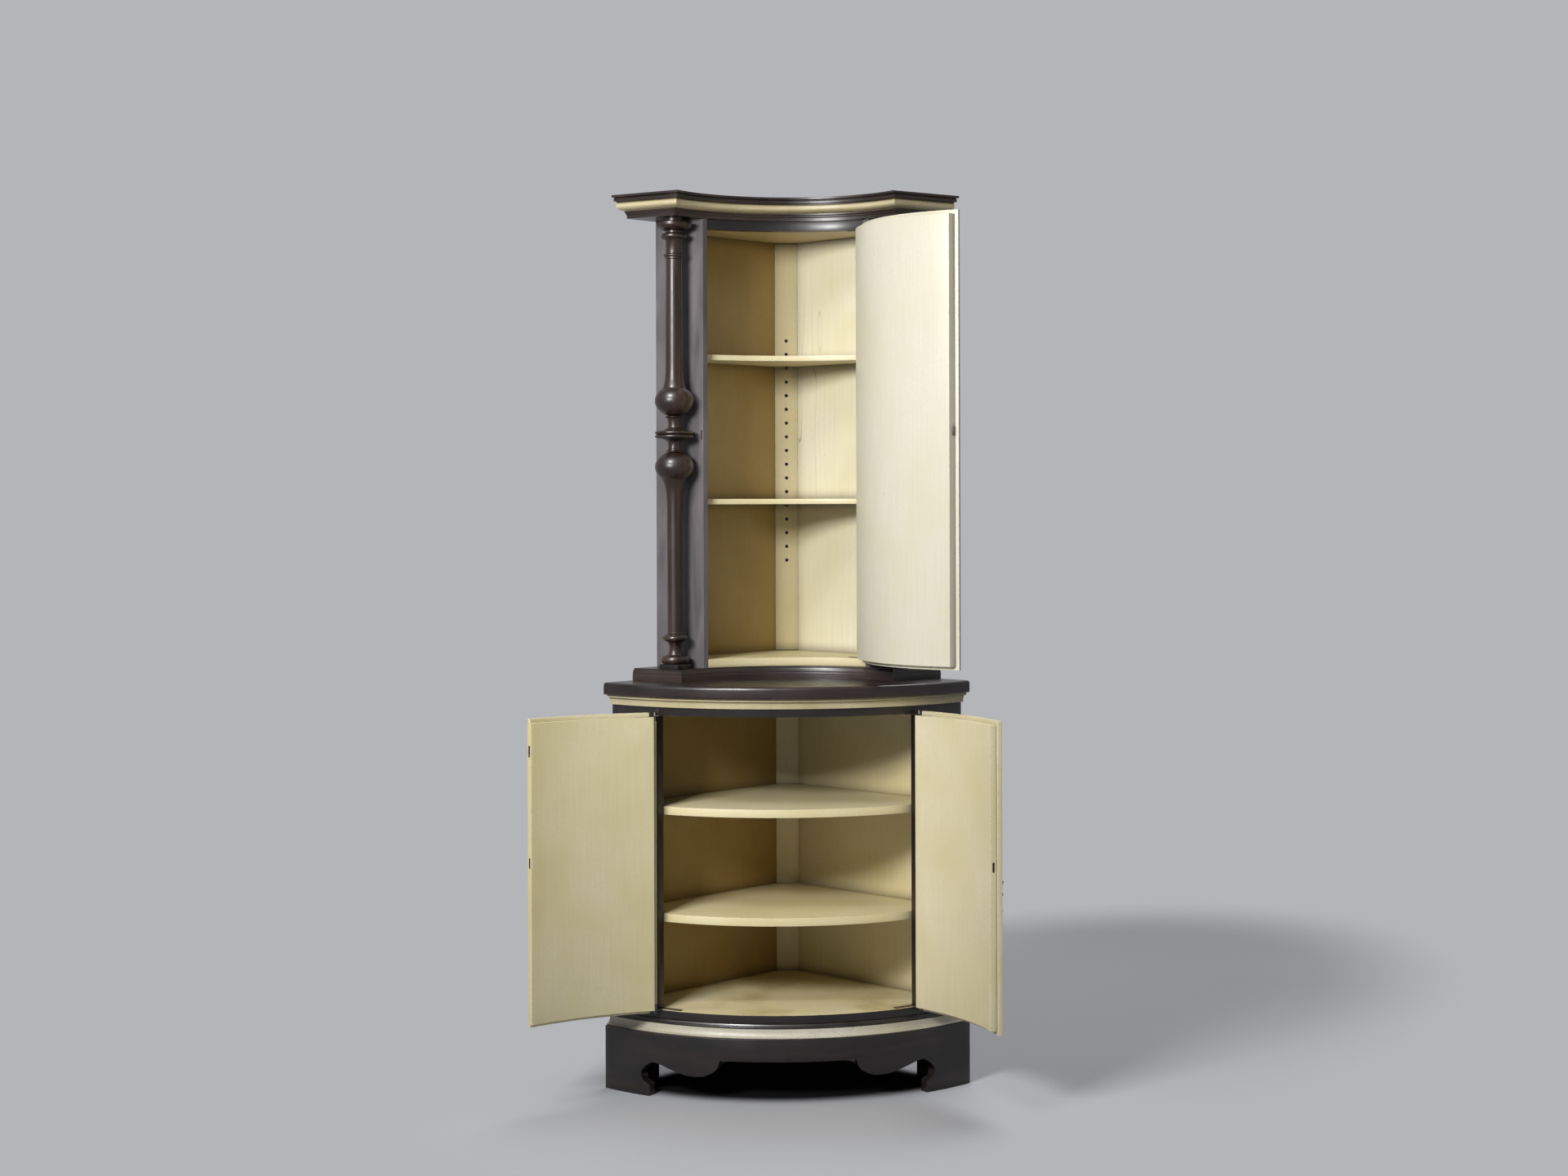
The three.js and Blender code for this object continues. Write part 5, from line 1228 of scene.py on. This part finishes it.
for place in ("lower_left", "lower_right", "upper"):
    for end in ("foot", "head"):
        easedCopy(f"{place}_case_{end}_hinge", f"{place}CasePivot{end}", steel, "case",
                  0.2)
        easedCopy(f"{place}_door_{end}_hinge", f"{place}DoorPivot{end}", steel, f"{place}_door",
                  0.2)
for node, name, metal, body, slotName in (
        ("lower_lock_case", "lowerLockCase", steel, "lower_right_door", "worn_steel"),
        ("upper_lock_case", "upperLockCase", steel, "upper_door", "worn_steel"),
        ("lower_lock_bolt", "lowerLockBolt", iron, "lower_lock_bolt", "worn_steel"),
        ("upper_lock_bolt", "upperLockBolt", iron, "upper_lock_bolt", "worn_steel"),
        ("lower_left_flush_bolt", "flushBolt", steel, "flush_bolt", "worn_steel"),
        ("lower_escutcheon", "lowerEscutcheon", iron, "lower_right_door", "dark_iron"),
        ("pull_staple", "pullStaple", iron, "lower_right_door", "dark_iron"),
        ("pull_drop", "pullDrop", iron, "pull", "dark_iron")):
    easedCopy(node, name, metal, body, 0.25)
print("metalwork made")


# The studio: a soft key lamp to the front and side, a weaker one high above it, one that is only
# mirrored, for the glint on polished wood, a wide lamp from behind, and pale grey paper, painted
# near black under the case as a painted shadow. Away from the piece and its shadow the paper turns
# to one even grey.

studio = {
    "paper": "b0b1b5", "even": "b4b5b9", "world": 0.1, "room": (0.96, 0.98, 1.0),
    "key": {"azimuth": 31, "height": 21, "distance": 3.25, "size": (1.0, 0.6), "power": 100},
    "high": {"azimuth": 33, "height": 48, "distance": 4.1, "size": (1.0, 1.0), "power": 32},
    "glint": {"azimuth": 33, "height": 48, "distance": 4.1, "size": (0.45, 0.45), "power": 190},
    "fill": {"azimuth": -150, "height": 68, "distance": 4.2, "size": (2.6, 2.6), "power": 150},
    "aim": (0.0, -0.3, 0.95), "near": (0.8, 1.25), "nearCentre": (0.5, 0.36, 0.0),
    "nearTurn": 53, "nearReach": (1.5, 0.85), "paintedShadowColour": "1c1c1d", "paintedShadowReach": (0.5, 0.57),
    "paintedShadowWallEdge": (-0.02, 0.05),
}
camera = {"focal": 2905, "width": 1920, "height": 1440, "column": 963.2, "row": 610,
          "distance": 5596.5, "eye": 1284.6, "turn": 0.04, "roll": -0.003, "sensor": 36}


# Rays that the eye follows: straight, mirrored or through glass.
def seenRays(tree):
    path = addNode(tree, "LightPath", out=None)
    either = reckoned(tree, "MAXIMUM", path["Is Camera Ray"], path["Is Glossy Ray"])
    return reckoned(tree, "MAXIMUM", either, path["Is Transmission Ray"])


# The paper is lit by the lamps near the piece, painted near black under the case as a painted
# shadow, and reads as one even grey farther off.
def studioPaper(settings):
    material, tree = newMaterial("studioPaper")
    place = addNode(tree, "TexCoord", out="Object")
    long, short = settings["nearReach"]
    oval = addNode(tree, "Mapping", {
        "Vector": place, "Location": settings["nearCentre"], "Scale": (long, short, 1),
        "Rotation": (0, 0, math.radians(settings["nearTurn"]))}, vector_type="TEXTURE")
    flat = addNode(tree, "VectorMath", {0: oval, 1: (1, 1, 0)}, operation="MULTIPLY")
    fromPiece = addNode(tree, "VectorMath", {0: flat}, "Value", operation="LENGTH")
    away = spread(tree, fromPiece, *settings["near"], interpolation_type="SMOOTHSTEP")
    # Painted shadow: inside the case's quarter, in front of the walls, the paper is coloured near
    # black.
    fromCorner = addNode(tree, "VectorMath", {0: place, 1: (0, cornerY * mm, 0)}, "Value",
                         operation="DISTANCE")
    outsidePaintedShadow = spread(tree, fromCorner, *settings["paintedShadowReach"], interpolation_type="SMOOTHSTEP")
    part = addNode(tree, "SeparateXYZ", {0: place}, None)
    behind = reckoned(tree, "ADD", reckoned(tree, "ABSOLUTE", part["X"]), part["Y"])
    pastWall = spread(tree, behind, cornerY * mm - settings["paintedShadowWallEdge"][1],
                      cornerY * mm - settings["paintedShadowWallEdge"][0], interpolation_type="SMOOTHSTEP")
    colour = mixed(tree, reckoned(tree, "MAXIMUM", outsidePaintedShadow, pastWall),
                   linear(settings["paintedShadowColour"]), linear(settings["paper"]))
    lit = addNode(tree, "BsdfDiffuse", {"Color": colour})
    even = addNode(tree, "Emission", {"Color": linear(settings["even"])})
    both = addNode(tree, "MixShader",
                   {0: reckoned(tree, "MULTIPLY", away, seenRays(tree)), 1: lit, 2: even})
    addNode(tree, "OutputMaterial", {"Surface": both})
    return material


# The paper runs level from the front, then up behind, with one round between. Metres.
paper = {"reach": 9, "bendStart": 3.2, "bend": 2.5, "steps": 12}
turns = [k / paper["steps"] * math.pi / 2 for k in range(paper["steps"] + 1)]
sweep = [(-paper["reach"], 0)]
sweep += [(paper["bendStart"] + paper["bend"] * math.sin(t),
           paper["bend"] - paper["bend"] * math.cos(t)) for t in turns]
sweep += [(paper["bendStart"] + paper["bend"], paper["reach"])]
bm = bmesh.new()
rows = [[bm.verts.new((x, y, z)) for y, z in sweep] for x in (-paper["reach"], paper["reach"])]
for i in range(len(sweep) - 1):
    bm.faces.new((rows[0][i], rows[0][i + 1], rows[1][i + 1], rows[1][i])).smooth = True
bmesh.ops.recalc_face_normals(bm, faces=bm.faces)
mesh = meshOf(bm, "backdrop")
mesh.materials.append(studioPaper(studio))
backdrop = bpy.data.objects.new("backdrop", mesh)
bpy.context.collection.objects.link(backdrop)


def softLamp(name, settings, aim):
    lamp = bpy.data.lights.new(name, "AREA")
    lamp.shape, lamp.energy = "RECTANGLE", settings["power"]
    lamp.size, lamp.size_y = settings["size"]
    side, up = math.radians(settings["azimuth"]), math.radians(settings["height"])
    way = Vector((-math.sin(side) * math.cos(up), -math.cos(side) * math.cos(up), math.sin(up)))
    thing = bpy.data.objects.new(name, lamp)
    thing.location = Vector(aim) + way * settings["distance"]
    thing.rotation_euler = (-way).to_track_quat("-Z", "Y").to_euler()
    bpy.context.collection.objects.link(thing)
    return thing


softLamp("keyLamp", studio["key"], studio["aim"])
softLamp("highLamp", studio["high"], studio["aim"])
softLamp("glintLamp", studio["glint"], studio["aim"]).visible_diffuse = False
softLamp("fillLamp", studio["fill"], studio["aim"])
world = bpy.context.scene.world or bpy.data.worlds.new("studioWorld")
bpy.context.scene.world = world
world.use_nodes = True
tree = world.node_tree
tree.nodes.clear()
dim = addNode(tree, "Background",
              {"Color": studio["room"] + (1,), "Strength": studio["world"]})
even = addNode(tree, "Background", {"Color": linear(studio["even"])})
room = addNode(tree, "MixShader", {0: seenRays(tree), 1: dim, 2: even})
addNode(tree, "OutputWorld", {"Surface": room})

# The camera faces square to the case's front with its plate turned a little, as the picture's
# level edges run together to the right.
lens = bpy.data.cameras.new("studioCamera")
lens.sensor_width = camera["sensor"]
lens.lens = camera["sensor"] * camera["focal"] / camera["width"]
axis = camera["column"] + camera["focal"] * math.tan(camera["turn"])
lens.shift_x = (camera["width"] / 2 - axis) / camera["width"]
lens.shift_y = (camera["row"] - camera["height"] / 2) / camera["width"]
viewer = bpy.data.objects.new("studioCamera", lens)
eye = (0, (cornerY - camera["distance"]) * mm, camera["eye"] * mm)
viewer.matrix_world = Matrix.Translation(eye) \
    @ Matrix.Rotation(-camera["turn"], 4, "Z") @ Matrix.Rotation(math.pi / 2, 4, "X") \
    @ Matrix.Rotation(camera["roll"], 4, "Z")
bpy.context.collection.objects.link(viewer)
bpy.context.scene.camera = viewer
bpy.context.scene.view_settings.view_transform = "Standard"
print("studio made")
